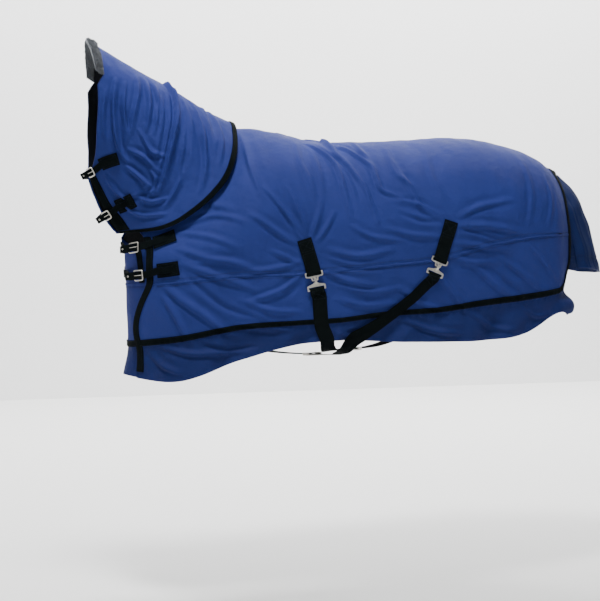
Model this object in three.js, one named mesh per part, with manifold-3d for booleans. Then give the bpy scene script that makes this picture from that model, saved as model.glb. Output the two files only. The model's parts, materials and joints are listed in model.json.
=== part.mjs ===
// Turnout rug with a detachable neck cover, built as the separate sewn, bound and buckled pieces
// of the real rug. Millimetres, +Z up, the rug's head end towards -X, its left side towards -Y.
// The origin is the point of the lining that lies on the middle of the horse's back.
import * as THREE from 'three';
import { mergeVertices } from 'three/addons/utils/BufferGeometryUtils.js';
import Module from 'manifold-3d';

const wasm = await Module();
wasm.setup();

// ---------------------------------------------------------------- driving dimensions (mm)
const SHELL_T = 6;            // quilted outer shell and fill, pressed thickness
const LINING_GAP = 0.5;       // shell to lining
const LINING_T = 2;
const NECK_T = 4.5;           // neck cover shell
const NECK_LINING_T = 1.5;
const BIND_LIFT = 0.5;        // binding above the shell
const BIND_T = 1.8;
const BIND_W = 20;            // hem and edge binding width
const PATCH_LIFT = 2.2;
const WEB_T = 2;              // webbing thickness
const CHEST_WEB_W = 25;
const CHEST_PATCH_W = 48;
const THROAT_WEB_W = 22;
const BELLY_WEB_W = 50;
const FLAP_DROP = 17;         // the right chest flap lies this far under the left one
const WIRE = 4.4;             // buckle wire
const CHEST_BUCKLE = [34, 29];  // clear length along the strap, clear width
const THROAT_BUCKLE = [22, 24];
const SEAM_V = 6, HEM_V = 8, SKIRT_V = 10;   // rows of the master skin
const SEAM_GAP_V = 0.006;

// Master skin of the left half of the body rug: 11 stations from the neckline and chest centre
// back to the rear edge, 11 rows from the spine down to the bottom of the skirt.
const BODY_NET = [
 [[-405.3,0,93.6],[-409.2,-98,25.6],[-454.1,-150.3,-98.5],[-554.8,-124.1,-219.9],[-702.9,0,-315.1],[-701.1,0,-401],[-694.6,0,-500.8],[-689.9,0,-607.7],[-688.6,0,-714.8],[-694,0,-763.1],[-701.1,0,-807.8]],
 [[-303.6,0,51.3],[-316.2,-100,-15.1],[-355.3,-162,-128.4],[-455.8,-176.4,-243.8],[-562,-137.8,-311.7],[-567.6,-192,-401.8],[-563.9,-205,-493.2],[-555.5,-212,-591.1],[-546.3,-215,-690.9],[-545.3,-217,-754.1],[-547.4,-218,-820.6]],
 [[-218,0,47.7],[-242,-96.5,8.5],[-266,-170.7,-66.2],[-290,-224,-157.5],[-314,-255.9,-258.4],[-338,-262.1,-364.3],[-350,-262.9,-470.8],[-350,-264.2,-561.1],[-350,-266,-651.3],[-350,-268,-701.4],[-350,-270,-751.4]],
 [[-170,0,39.4],[-170,-101.7,8.8],[-170,-183.3,-60.2],[-170,-241.3,-150.2],[-170,-274.8,-251.9],[-170,-282,-358.8],[-170,-282,-466.2],[-170,-282,-552.1],[-170,-282,-638],[-170,-283,-671.4],[-170,-284,-704.7]],
 [[0,0,8.6],[0,-100.4,-13.2],[0,-186.2,-70.2],[0,-250.3,-150.9],[0,-290.4,-245.9],[0,-305,-348.1],[0,-304.3,-451.5],[0,-302.7,-540],[0,-300,-628.5],[0,-300,-658.6],[0,-300,-688.7]],
 [[170,0,11.5],[170,-101.5,-6.8],[170,-190.8,-58.5],[170,-259.6,-135.5],[170,-303.7,-229],[170,-321.6,-330.8],[170,-321.1,-434.5],[170,-318.5,-521.7],[170,-314,-608.8],[170,-314,-652.1],[170,-314,-695.5]],
 [[350,0,24.5],[350,-103.1,9.4],[350,-195.7,-38],[350,-267.7,-113.2],[350,-313.2,-206.9],[350,-331.3,-309.6],[350,-331.1,-414.2],[350,-327.8,-506.2],[350,-322,-598.3],[350,-322,-648.3],[350,-322,-698.4]],
 [[530,0,37.1],[530,-98.7,25.5],[530,-189.3,-14.9],[530,-261.4,-83.1],[530,-308.3,-170.7],[530,-329.5,-267.8],[530,-331.6,-367.4],[530,-327.2,-472],[530,-318,-576.6],[530,-318,-637.1],[530,-318,-697.6]],
 [[700,0,19.6],[700,-88.5,9.4],[700,-170.2,-25.9],[700,-236.4,-85.3],[700,-281.9,-161.9],[700,-306,-247.8],[700,-312,-336.8],[700,-309.4,-447.7],[700,-302,-558.6],[700,-303,-616.8],[700,-304,-674.9]],
 [[840,0,-20.4],[840,-86.1,-33.8],[840,-162,-76.4],[840,-219.2,-142.1],[840,-255.5,-221.5],[840,-272.6,-307.2],[840,-274.9,-326.2],[840,-274.5,-431.7],[840,-272,-537.1],[840,-274,-571.2],[840,-276,-605.2]],
 [[975,0,-75.9],[965,-45,-98.2],[958.6,-83,-130.8],[955.1,-118,-174.1],[950.9,-146,-223.9],[948.4,-164,-272.8],[944,-176,-321.4],[933.3,-190,-428.8],[901.6,-203,-520.7],[936.5,-208,-576.1],[904.9,-213,-625.3]],
];
// Master skin of the left half of the neck cover: 6 stations from the poll edge to the rear
// edge, 7 rows from the crest to the throat edge.
const NECK_NET = [
 [[-814.2,0,330.2],[-805.7,-65,285],[-796.8,-102,220.1],[-790.8,-112,126.3],[-795,-106,24.2],[-796.6,-82,-60.2],[-806.9,-38,-124.4]],
 [[-720.3,0,280.2],[-716.1,-62,244.7],[-721.1,-108,176.2],[-730.6,-122,87.7],[-743.2,-115,-5],[-762.5,-88,-89.9],[-796.7,-36,-157.8]],
 [[-627.9,0,229.6],[-624.7,-65,196.3],[-634.8,-115,125.5],[-655.3,-132,39.4],[-684.7,-125,-50.8],[-726.9,-95,-136.4],[-781.6,-36,-199.8]],
 [[-525,0,178.7],[-523.9,-70,142.2],[-537.9,-125,67.6],[-570.5,-148,-22.9],[-620.6,-142,-110.5],[-685.5,-108,-190],[-763.1,-36,-243.5]],
 [[-410.5,0,111.8],[-411.1,-75,74.1],[-426.1,-135,-0.6],[-464.8,-165,-88.5],[-533.7,-165,-173.7],[-621.6,-128,-243.7],[-739.1,-34,-283.9]],
 [[-298.5,0,63.2],[-307,-85,18],[-328.3,-150,-60.2],[-372.8,-185,-151.7],[-465.5,-195,-244.3],[-577.4,-160,-311.2],[-706.1,-30,-324.4]],
];

// ---------------------------------------------------------------- materials
const std = (color, roughness, metalness) => new THREE.MeshStandardMaterial({ color, roughness, metalness });
const BLUE = () => std(0x2f4a8c, 0.7, 0);
const BLUE_DARK = () => std(0x26407c, 0.72, 0);
const BLACK_WEB = () => std(0x0c1618, 0.8, 0);
const LINING = () => std(0x14161c, 0.6, 0);
const FLEECE = () => std(0x8c9aa3, 0.95, 0);
const NICKEL = () => std(0xc9c6bb, 0.28, 1);

// ---------------------------------------------------------------- master skin
const V = (x, y, z) => new THREE.Vector3(x, y, z);
const mirror = (p) => V(p.x, -p.y, p.z);
function padNet(net, chestRow) {
  const rows = net.map((r) => r.map((q) => V(...q)));
  const g = rows.map((r) => {
    const n = r.length;
    return [mirror(r[1]), ...r, r[n - 1].clone().multiplyScalar(2).sub(r[n - 2])];
  });
  const n = g.length;
  const front = g[0].map((p, j) => {
    const out = p.clone().multiplyScalar(2).sub(g[1][j]);
    const mir = mirror(g[1][j]);
    if (chestRow && j >= chestRow + 1) return mir;
    if (chestRow && j === chestRow) return out.add(mir).multiplyScalar(0.5);
    return out;
  });
  const rear = g[n - 1].map((p, j) => p.clone().multiplyScalar(2).sub(g[n - 2][j]));
  return [front, ...g, rear];
}
const BODY = padNet(BODY_NET, 4);
const NECK = padNet(NECK_NET, 0);
const cr = (a, b, c, d, t) => {
  const t2 = t * t, t3 = t2 * t;
  const f = (p, q, r, s) => 0.5 * (2 * q + (-p + r) * t + (2 * p - 5 * q + 4 * r - s) * t2 + (-p + 3 * q - 3 * r + s) * t3);
  return V(f(a.x, b.x, c.x, d.x), f(a.y, b.y, c.y, d.y), f(a.z, b.z, c.z, d.z));
};
const clamp = (x, a, b) => Math.min(Math.max(x, a), b);
const smooth = (x, a, b) => { const t = clamp((x - a) / (b - a), 0, 1); return t * t * (3 - 2 * t); };
const lerp = (a, b, t) => a + (b - a) * t;
function evalNet(G, u, v) {
  const i = clamp(Math.floor(u), 0, G.length - 4), j = clamp(Math.floor(v), 0, G[0].length - 4);
  const r = [0, 1, 2, 3].map((k) => cr(G[i + k][j], G[i + k][j + 1], G[i + k][j + 2], G[i + k][j + 3], v - j));
  return cr(r[0], r[1], r[2], r[3], u - i);
}
// side +1 is the left half (-Y), -1 the right; u < 0 runs across the chest centre
function skin(G, side, u, v) {
  let s = side, uu = u;
  if (G === BODY && u < 0) { s = -side; uu = -u; }
  const vv = Math.max(v, 0.0005), h = 0.02;
  const p = evalNet(G, uu, v);
  const du = evalNet(G, uu + h, vv).sub(evalNet(G, Math.max(uu - h, 0), vv));
  const dv = evalNet(G, uu, vv + h).sub(evalNet(G, uu, Math.max(vv - h, -0.9)));
  const n = dv.cross(du).normalize();
  if (G === BODY && v > 3.9 && uu < 0.3) { n.y *= smooth(uu, -0.02, 0.3); n.normalize(); }
  if (s < 0) { p.y = -p.y; n.y = -n.y; }
  return { p, n };
}
const on = (G, side, u, v, off) => { const q = skin(G, side, u, v); return q.p.addScaledVector(q.n, off); };
const body = (side, u, v, off) => on(BODY, side, u, v, off);
const neck = (side, u, v, off) => on(NECK, side, u, v, off);

// front edge of the left chest flap, and how far the right one runs under it
const EDGE = [[0, 0], [2.6, 0], [3.6, 0.22], [4.0, 0.56], [4.2, 0.69], [4.6, 0.69], [5.0, 0.64], [5.5, 0.62], [6.0, 0.62], [6.3, 0.53], [6.7, 0.42], [7.2, 0.32], [7.6, 0.31], [8.0, 0.37], [9.0, 0.40], [10.0, 0.41]];
function pw(tab, x) {
  for (let i = 1; i < tab.length; i++) if (x <= tab[i][0]) return lerp(tab[i - 1][1], tab[i][1], clamp((x - tab[i - 1][0]) / (tab[i][0] - tab[i - 1][0]), 0, 1));
  return tab[tab.length - 1][1];
}
const leftEdge = (v) => pw(EDGE, v);
const rightEdge = (v) => (v < 4.005 ? 0 : -(leftEdge(v) + 0.18) * smooth(v, 4.25, 5.2));
const frontEdge = (side, v) => (side > 0 ? leftEdge(v) : rightEdge(v));
// the right flap drops below the left one towards the chest centre
const drop = (side, u, v) => (side > 0 ? 0 : -FLAP_DROP * (1 - smooth(u, 0.05, 0.75)) * smooth(v, 3.1, 4.0));

// ---------------------------------------------------------------- solid makers
function finish(name, geo, material) {
  geo.deleteAttribute('normal'); if (geo.getAttribute('uv')) geo.deleteAttribute('uv');
  let g = mergeVertices(geo, 1e-3);
  const p = g.getAttribute('position'), ix = g.getIndex();
  let vol = 0; const a = V(0, 0, 0), b = V(0, 0, 0), c = V(0, 0, 0);
  for (let i = 0; i < ix.count; i += 3) {
    a.fromBufferAttribute(p, ix.getX(i)); b.fromBufferAttribute(p, ix.getX(i + 1)); c.fromBufferAttribute(p, ix.getX(i + 2));
    vol += a.dot(b.cross(c));
  }
  if (vol < 0) for (let i = 0; i < ix.count; i += 3) { const t = ix.getX(i); ix.setX(i, ix.getX(i + 1)); ix.setX(i + 1, t); }
  g.computeVertexNormals();
  const mesh = new THREE.Mesh(g, material); mesh.name = name; return mesh;
}
// a flat box blank of nx by ny cells laid on a surface; f(s, t, k) with k 0 inside, 1 outside
function laid(name, material, nx, ny, f) {
  const geo = new THREE.BoxGeometry(1, 1, 1, nx, ny, 1);
  // both broad faces split each cell along the same diagonal, so a thin sheet keeps its thickness
  const gi = geo.getIndex(), grp = geo.groups[5];
  for (let i = grp.start; i < grp.start + grp.count; i += 6) {
    const a = gi.getX(i), b = gi.getX(i + 1), d = gi.getX(i + 2), c = gi.getX(i + 4);
    [a, b, c, a, c, d].forEach((x, j) => gi.setX(i + j, x));
  }
  const p = geo.getAttribute('position');
  for (let i = 0; i < p.count; i++) {
    const q = f(p.getX(i) + 0.5, p.getY(i) + 0.5, p.getZ(i) + 0.5);
    p.setXYZ(i, q.x, q.y, q.z);
  }
  return finish(name, geo, material);
}
function toManifold(geo) {
  const g0 = geo.clone(); g0.deleteAttribute('normal'); if (g0.getAttribute('uv')) g0.deleteAttribute('uv');
  const g = mergeVertices(g0, 1e-3);
  const m = new wasm.Mesh({ numProp: 3, vertProperties: new Float32Array(g.getAttribute('position').array), triVerts: new Uint32Array(g.getIndex().array) });
  return new wasm.Manifold(m);
}
function fromManifold(name, man, material) {
  const m = man.getMesh();
  const g = new THREE.BufferGeometry();
  g.setAttribute('position', new THREE.BufferAttribute(Float32Array.from(m.vertProperties), 3));
  g.setIndex(new THREE.BufferAttribute(Uint32Array.from(m.triVerts), 1));
  return finish(name, g, material);
}
const group = new THREE.Group();
const add = (m) => { group.add(m); return m; };

// row and column positions used by every body piece, so neighbours share their facets
const COLS = [0, 0.045, 0.1, 0.16, 0.22, 0.29, 0.36, 0.43, 0.51, 0.6, 0.69, 0.78, 0.86, 0.93, 1];
const TOP_ROWS = [0, 0.45, 0.9, 1.4, 2, 2.6, 3.2, 3.7, 4.0, 4.25, 4.6, 5.3, SEAM_V - SEAM_GAP_V];
const NB = COLS.length - 1, NT = TOP_ROWS.length - 1;
const uAt = (side, i, v) => { const e = frontEdge(side, v); return e + (10 - e) * COLS[i]; };
const at = (arr, x) => arr[Math.round(x * (arr.length - 1))];
const BACK_ROWS = [...TOP_ROWS.slice(1).reverse().map((v) => -v), ...TOP_ROWS];
function topPoint(s, t, off) {
  const w = at(BACK_ROWS, t), side = w >= 0 ? 1 : -1, v = Math.abs(w);
  const u = uAt(side, Math.round(s * NB), v);
  return body(side, u, v, off + drop(side, u, v));
}
// ---------------------------------------------------------------- body rug
add(laid('back_panel', BLUE(), NB, 2 * NT, (s, t, k) => topPoint(s, t, k > 0.5 ? 0 : -SHELL_T)));
const SIDE_ROWS = [SEAM_V + SEAM_GAP_V, 6.45, 7, HEM_V - 0.012];
const SKIRT_ROWS = [HEM_V + 0.012, 9, SKIRT_V];
for (const [side, tag] of [[1, 'left'], [-1, 'right']]) {
  const f = (rows, o0, o1) => (s, t, k) => {
    const v = at(rows, side > 0 ? t : 1 - t), u = uAt(side, Math.round(s * NB), v);
    return body(side, u, v, (k > 0.5 ? o1 : o0) + drop(side, u, v));
  };
  add(laid(`side_panel_${tag}`, BLUE(), NB, 3, f(SIDE_ROWS, -SHELL_T, 0)));
  add(laid(`skirt_${tag}`, BLUE_DARK(), NB, 2, f(SKIRT_ROWS, -3, 0)));
}
// lining: one sheet under the back panel and both side panels
const LIN_V = [...TOP_ROWS, ...SIDE_ROWS];
const LIN_ROWS = [...LIN_V.slice(1).reverse().map((v) => -v), ...LIN_V];
add(laid('body_lining', LINING(), NB, LIN_ROWS.length - 1, (s, t, k) => {
  const w = at(LIN_ROWS, t), side = w >= 0 ? 1 : -1, v = Math.abs(w);
  const u = uAt(side, Math.round(s * NB), v);
  return body(side, u, v, (k < 0.5 ? -SHELL_T - LINING_GAP : -SHELL_T - LINING_GAP - LINING_T) + drop(side, u, v));
}));
// hem binding along the side and up the rear edge, mitred at the rear corner
const HB = 0.30;              // rows taken by the hem binding's width
const RB = 0.16;              // columns taken by the rear binding's width
for (const [side, tag] of [[1, 'left'], [-1, 'right']]) {
  const path = [];
  for (let i = 0; i < NB; i++) path.push(['h', i]);
  const rearRows = [HEM_V, 7, 6.45, SEAM_V, 5.3, 4.6, 3.8, 3.2, 2.6, 2, 1.4, 0.9, 0.45, side > 0 ? 0.06 : 0.06];
  rearRows.forEach((v) => path.push(['r', v]));
  add(laid(`hem_binding_${tag}`, BLACK_WEB(), path.length - 1, 1, (s, tt, k) => {
    const t = side > 0 ? tt : 1 - tt;
    const [kind, x] = path[Math.round(s * (path.length - 1))];
    let u, v;
    if (kind === 'h') {
      v = t > 0.5 ? HEM_V : HEM_V - HB; u = uAt(side, x, v);
      if (x === 0) u += side > 0 ? 0.16 : 0.13;
    } else if (x === HEM_V) { u = t > 0.5 ? 10 : 10 - RB; v = t > 0.5 ? HEM_V : HEM_V - HB; }
    else { v = x; u = t > 0.5 ? 10 : 10 - RB; }
    return body(side, u, v, BIND_LIFT + (k > 0.5 ? BIND_T : 0) + drop(side, u, v) + 2.4 + (side < 0 ? 1.8 * smooth(u, 9.0, 9.6) * smooth(v, 6.5, 7.5) : 0) + (side < 0 ? 1.2 * (1 - smooth(u, 0.9, 1.6)) : 0));
  }));
}
// front edge binding of the chest flaps, rows from the neckline to the skirt bottom
const FRONT_ROWS = [4.3, 4.6, 5.3, 5.994, 6.45, 7, 7.6, 7.98, 8.3, 9, 9.95];
for (const [side, tag] of [[1, 'left'], [-1, 'right']]) {
  const rows = side > 0 ? FRONT_ROWS : FRONT_ROWS.slice(2);
  add(laid(`front_binding_${tag}`, BLACK_WEB(), rows.length - 1, 1, (s, t, k) => {
    const v = at(rows, s), e = frontEdge(side, v), w = side > 0 ? 0.135 : 0.11;
    const u = e + (t > 0.5 ? w : 0);
    return body(side, u, v, 1.2 + (k > 0.5 ? BIND_T : 0) + drop(side, u, v));
  }));
}

// ---------------------------------------------------------------- ribbons
// path entries are { p, n } frames; a ribbon keeps its width square to the path
function framesOf(pts) {
  const curve = new THREE.CatmullRomCurve3(pts.map((q) => q.p), false, 'centripetal');
  return { curve, pts };
}
function ribbon(name, material, pts, width, thick, opt = {}) {
  const N = pts.length;
  const frames = pts.map((q, i) => {
    const a = pts[Math.max(i - 1, 0)].p, b = pts[Math.min(i + 1, N - 1)].p;
    const t = b.clone().sub(a).normalize();
    const c = q.n.clone().cross(t).normalize();
    const n = t.clone().cross(c).normalize();
    return { p: q.p, t, c, n, w: q.w ?? width };
  });
  return laid(name, material, N - 1, opt.nw ?? 1, (s, t, k) => {
    const f = frames[Math.round(s * (N - 1))];
    return f.p.clone().addScaledVector(f.c, (t - 0.5) * f.w).addScaledVector(f.n, (k - 0.5) * thick);
  });
}
// points along a straight run in (u, v) on the skin, at a mid-thickness height off
function run(G, side, a, b, n, off, w) {
  const out = [];
  for (let i = 0; i <= n; i++) {
    const s = i / n, u = lerp(a[0], b[0], s), v = lerp(a[1], b[1], s);
    const o = typeof off === 'function' ? off(s) : off;
    const q = skin(G, side, u, v);
    out.push({ p: q.p.addScaledVector(q.n, o), n: q.n, w });
  }
  return out;
}
// ---------------------------------------------------------------- buckles
// local frame: s towards the strap's free end, t across, n outwards
function bar(shape, depth, M, bevel = 0) {
  const g = new THREE.ExtrudeGeometry(shape, { depth: depth - 2 * bevel, steps: 1, curveSegments: 3, bevelEnabled: bevel > 0, bevelThickness: bevel, bevelSize: bevel, bevelSegments: 1, bevelOffset: -bevel });
  g.translate(0, 0, -depth / 2 + bevel);
  g.applyMatrix4(M);
  return g;
}
function rrect(w, h, r, path = new THREE.Shape()) {
  path.moveTo(-w / 2 + r, -h / 2); path.lineTo(w / 2 - r, -h / 2); path.quadraticCurveTo(w / 2, -h / 2, w / 2, -h / 2 + r);
  path.lineTo(w / 2, h / 2 - r); path.quadraticCurveTo(w / 2, h / 2, w / 2 - r, h / 2); path.lineTo(-w / 2 + r, h / 2);
  path.quadraticCurveTo(-w / 2, h / 2, -w / 2, h / 2 - r); path.lineTo(-w / 2, -h / 2 + r); path.quadraticCurveTo(-w / 2, -h / 2, -w / 2 + r, -h / 2);
  return path;
}
const AX_ST = new THREE.Matrix4();                                       // shape in the s-t plane, depth along n
const AX_SN = new THREE.Matrix4().makeRotationX(Math.PI / 2);            // shape in the s-n plane, depth along t
const basis = (o, s, t, n) => new THREE.Matrix4().makeBasis(s, t, n).setPosition(o);

function buckle(tag, M, [L, W], strapPts, webW, chapeLen) {
  const hx = L / 2 + WIRE / 2;       // heel bar centre
  // frame
  const outer = rrect(L + 2 * WIRE, W + 2 * WIRE, 6); outer.holes.push(rrect(L, W, 2.5, new THREE.Path()));
  add(finish(`${tag}_buckle_frame`, bar(outer, WIRE, new THREE.Matrix4().multiplyMatrices(M, AX_ST), 1.1), NICKEL()));
  // chape wrapped on the heel bar
  const R = WIRE / 2 * Math.SQRT2 + 0.4, RO = R + 1.7;
  const sh = new THREE.Shape();
  const a0 = Math.acos(0.1);
  sh.moveTo(hx + chapeLen, -1.6); sh.lineTo(hx + chapeLen, 1.6); sh.lineTo(hx + 12, 1.6);
  for (let i = 0; i <= 10; i++) { const a = a0 + (2 * Math.PI - 2 * a0) * i / 10; sh.lineTo(hx + RO * Math.cos(a), RO * Math.sin(a)); }
  sh.lineTo(hx + 12, -1.6); sh.lineTo(hx + chapeLen, -1.6);
  const hole = new THREE.Path(); for (let i = 0; i < 10; i++) { const a = -2 * Math.PI * i / 10; i ? hole.lineTo(hx + R * Math.cos(a), R * Math.sin(a)) : hole.moveTo(hx + R, 0); } hole.closePath();
  sh.holes.push(hole);
  const ch = toManifold(bar(sh, W - 2.4, new THREE.Matrix4().multiplyMatrices(M, AX_SN)));
  const slot = new THREE.BoxGeometry(14, 5.4, 14); slot.translate(hx - 7 + RO + 1.2, 0, 0); slot.applyMatrix4(M);
  add(fromManifold(`${tag}_buckle_chape`, ch.subtract(toManifold(slot)), BLACK_WEB()));
  // prong: a ring round the heel bar and an arm that rests over the front bar
  const pr = new THREE.Shape(); const r1 = R + 1.7, tipS = -hx - 2.5, tipN = WIRE / 2 + 0.5;
  const ang = Math.atan2(tipN + 1.5, hx * 2);
  for (let i = 0; i <= 10; i++) { const a = -Math.PI + ang + 0.55 + (2 * Math.PI - 1.1) * i / 10; const x = hx + r1 * Math.cos(a), y = r1 * Math.sin(a); i ? pr.lineTo(x, y) : pr.moveTo(x, y); }
  pr.lineTo(hx - 5.8, r1 * 0.52); pr.lineTo(tipS, tipN + 2.6); pr.lineTo(tipS - 1, tipN + 1); pr.lineTo(tipS, tipN); pr.lineTo(-hx + 4, tipN); 
  const ph = new THREE.Path(); for (let i = 0; i < 10; i++) { const a = -2 * Math.PI * i / 10; i ? ph.lineTo(hx + R * Math.cos(a), R * Math.sin(a)) : ph.moveTo(hx + R, 0); } ph.closePath();
  pr.holes.push(ph);
  add(finish(`${tag}_buckle_prong`, bar(pr, 3.4, new THREE.Matrix4().multiplyMatrices(M, AX_SN)), NICKEL()));
  // billet with its slot for the prong
  const solid = toManifold(ribbon('x', BLACK_WEB(), strapPts, webW, WEB_T).geometry);
  const cut = new THREE.BoxGeometry(L * 0.70, 5.6, 22); cut.translate(L * 0.11, 0, 2); cut.applyMatrix4(M);
  add(fromManifold(`${tag}_billet`, solid.subtract(toManifold(cut)), BLACK_WEB()));
  return { pivot: V(hx, 0, 0).applyMatrix4(M), axis: V(0, 1, 0).transformDirection(M), s: V(1, 0, 0).transformDirection(M), n: V(0, 0, 1).transformDirection(M) };
}
// tangent frame at a skin point, s pointing from a to b
function tangentFrame(o, n, dir) {
  const s = dir.clone().addScaledVector(n, -dir.dot(n)).normalize();
  const t = n.clone().cross(s).normalize();
  return basis(o, s, t, n.clone());
}
export const info = {};
// chest straps: patch and billet on the left flap, buckle on the right flap
const CHEST = [
  { tag: 'chest_upper', patch: [[0.80, 4.535], [1.135, 4.325]], b: [0.481, 4.694], free: [-0.03, 4.60] },
  { tag: 'chest_lower', patch: [[0.79, 5.55], [1.125, 5.487]], b: [0.501, 5.689], free: [-0.04, 5.65] },
];
const CHEST_H = 8.5;           // buckle plane above the skin
for (const c of CHEST) {
  add(ribbon(`${c.tag}_patch`, BLACK_WEB(), run(BODY, 1, c.patch[0], c.patch[1], 4, PATCH_LIFT + WEB_T / 2 + 1.6), CHEST_PATCH_W, WEB_T, { nw: 2 }));
  const q = skin(BODY, 1, c.b[0], c.b[1]);
  const o = q.p.clone().addScaledVector(q.n, CHEST_H);
  const dir = body(1, c.free[0], c.free[1], 0).sub(body(1, c.patch[1][0], c.patch[1][1], 0));
  const M = tangentFrame(o, q.n, dir);
  c.M = M;
  const L = CHEST_BUCKLE[0], hx = L / 2 + WIRE / 2;
  const loc = (s, n) => ({ p: V(s, 0, n).applyMatrix4(M), n: q.n.clone() });
  // strap: stitched over the patch, under the front bar, over the heel bar, free end beyond
  const start = run(BODY, 1, [lerp(c.patch[0][0], c.patch[1][0], 0.62), lerp(c.patch[0][1], c.patch[1][1], 0.62)], [lerp(c.patch[0][0], c.patch[1][0], 0.05), lerp(c.patch[0][1], c.patch[1][1], 0.05)], 3, PATCH_LIFT + WEB_T * 1.5 + 2.4);
  const pts = [...start, loc(-hx - 9, -3.6), loc(-hx, -4.4), loc(-hx + 7, -3.2), loc(0, 0.6), loc(hx - 7, 4.6), loc(hx, 6.4), loc(hx + 9, 6.6), loc(hx + 22, 5.2), loc(hx + 36, 4.4)];
  const r = buckle(c.tag, M, CHEST_BUCKLE, pts, CHEST_WEB_W, 46);
  info[c.tag] = r;
}
// right flap: patches the chapes are sewn to, and the webbing band behind both buckles
for (const c of CHEST) {
  const f = [-0.02, lerp(c.patch[0][1], c.b[1], 0.6)];
  add(ribbon(`${c.tag}_buckle_patch`, BLACK_WEB(), run(BODY, -1, [0.30, f[1]], [0.86, f[1] - 0.1], 4, (s) => -FLAP_DROP * (1 - smooth(lerp(0.30, 0.86, s), 0.05, 0.75)) + 3.4), CHEST_PATCH_W, WEB_T, { nw: 2 }));
}
add(ribbon('chest_buckle_band', BLACK_WEB(), run(BODY, 1, [0.47, 4.42], [0.47, 5.95], 8, -FLAP_DROP + 2.8), 26, WEB_T));

// ---------------------------------------------------------------- surcingles
function tab(name, a, b, w, M, n) {
  const loc = (s, h) => ({ p: V(s, 0, h).applyMatrix4(M), n: n.clone() });
  return add(ribbon(name, BLACK_WEB(), [...run(BODY, 1, a, b, 4, PATCH_LIFT + WEB_T / 2 + 0.6), loc(-37, 0.6), loc(-32, 3.4), loc(-23.4, 3.4)], w, WEB_T, { nw: 2 }));
}
const BELLY = [
  { tag: 'front', tabA: [3.241, 4.909], tabB: [3.395, 5.75], clip: [3.455, 6.30] },
  { tag: 'rear', tabA: [6.229, 4.823], tabB: [6.05, 5.74], clip: [5.93, 6.26] },
];
const CLIP_H = 7.5;
for (const b of BELLY) {
  const q = skin(BODY, 1, b.clip[0], b.clip[1]);
  const o = q.p.clone().addScaledVector(q.n, CLIP_H);
  const M = tangentFrame(o, q.n, body(1, b.clip[0], b.clip[1], 0).sub(body(1, ...b.tabB, 0)));
  b.M = M; b.q = q;
  tab(`${b.tag}_surcingle_tab`, b.tabA, b.tabB, BELLY_WEB_W, M, q.n);
  // slot plate, hung from the tab's end loop
  const pl = new THREE.Shape([[-29, 0], [-31, -2], [-31, -4], [-30, -12], [-28, -14], [28, -14], [30, -12], [31, -4], [31, -2], [29, 0]].map(([t, s]) => new THREE.Vector2(s, t)));
  const plate = new THREE.Shape(); const P = (a, first) => a.forEach(([s, t], i) => (i === 0 && first ? plate.moveTo(s, t) : plate.lineTo(s, t)));
  P([[-32, -31], [-18, -31], [-15, -28], [-13, -13], [-3, -11], [-1, -9], [-1, 9], [-3, 11], [-13, 13], [-15, 28], [-18, 31], [-32, 31]], true);
  const h1 = new THREE.Path([[-27.5, -26.5], [-27.5, 26.5], [-20.5, 26.5], [-18.5, 24], [-18.5, -24], [-20.5, -26.5]].map(([s, t]) => new THREE.Vector2(s, t)));
  const h2 = new THREE.Path([[-13.5, -7], [-13.5, 7], [-5.5, 7], [-5.5, -7]].map(([s, t]) => new THREE.Vector2(s, t)));
  plate.holes.push(h1, h2);
  add(finish(`${b.tag}_slot_plate`, bar(plate, 3.4, new THREE.Matrix4().multiplyMatrices(M, AX_ST), 0.8), NICKEL()));
  // T hook: lower loop plate and the hook that passes through the slot
  const lp = new THREE.Shape([[4, -6], [8, -10], [13, -29], [16, -32], [31, -32], [31, 32], [16, 32], [13, 29], [8, 10], [4, 6]].map(([s, t]) => new THREE.Vector2(s, t)));
  lp.holes.push(new THREE.Path([[19, -26.5], [19, 26.5], [26.5, 26.5], [26.5, -26.5]].map(([s, t]) => new THREE.Vector2(s, t))));
  const loop = toManifold(bar(lp, 3.4, new THREE.Matrix4().multiplyMatrices(M, AX_ST), 0.8));
  const hk = new THREE.Shape([[8, -1.5], [8, 1.5], [3, 6.4], [-8.6, 6.4], [-8.6, -5.2], [-16, -5.2], [-16, -2.6], [-11.4, -2.6], [-11.4, 9.2], [4.5, 9.2], [12, 1.5], [12, -1.5]].map(([s, n]) => new THREE.Vector2(s, n)));
  const hook = toManifold(bar(hk, 8, new THREE.Matrix4().multiplyMatrices(M, AX_SN)));
  add(fromManifold(`${b.tag}_t_hook`, loop.add(hook), NICKEL()));
}

// straps from the hooks, across the side, under the belly and up inside the right side
const G0 = V(50, 0, 1575.06);      // the origin's place above the ground under the horse's feet
const gp = (x, y, z, n) => ({ p: V(x, y, z).sub(G0), n: V(...n).normalize() });
const ANCHOR = 17.5;
const STRAPS = {
  front: {
    onSkin: [[3.54, 6.95], [3.70, 9.9]],
    under: [[-1, -304, 872, [0, -1, -0.3]], [3, -298, 859, [0.1, -0.8, -0.8]], [16, -281, 851, [0.05, -0.3, -1]], [42, -252, 849, [0, -0.05, -1]], [100, -190, 848, [0, 0, -1]], [270, 0, 842, [0, 0, -1]], [420, 185, 850, [0, 0.05, -1]], [500, 268, 868, [0, 0.6, -1]]],
    far: [[6.74, 9.7], [6.85, 6.35]], slider: [4, 5, 0.30],
  },
  rear: {
    onSkin: [[5.52, 7.16], [4.26, 9.85]],
    under: [[78, -306, 872, [0, -1, -0.3]], [64, -299, 853, [0, -0.8, -0.8]], [46, -278, 840, [0, -0.3, -1]], [28, -240, 834, [0, -0.1, -1]], [-75, 0, 828, [0, 0, -1]], [-145, 140, 838, [0, 0.05, -1]], [-190, 222, 862, [0, 0.6, -1]]],
    far: [[2.58, 9.7], [2.52, 6.35]], slider: [3, 4, 0.34],
  },
};
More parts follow.
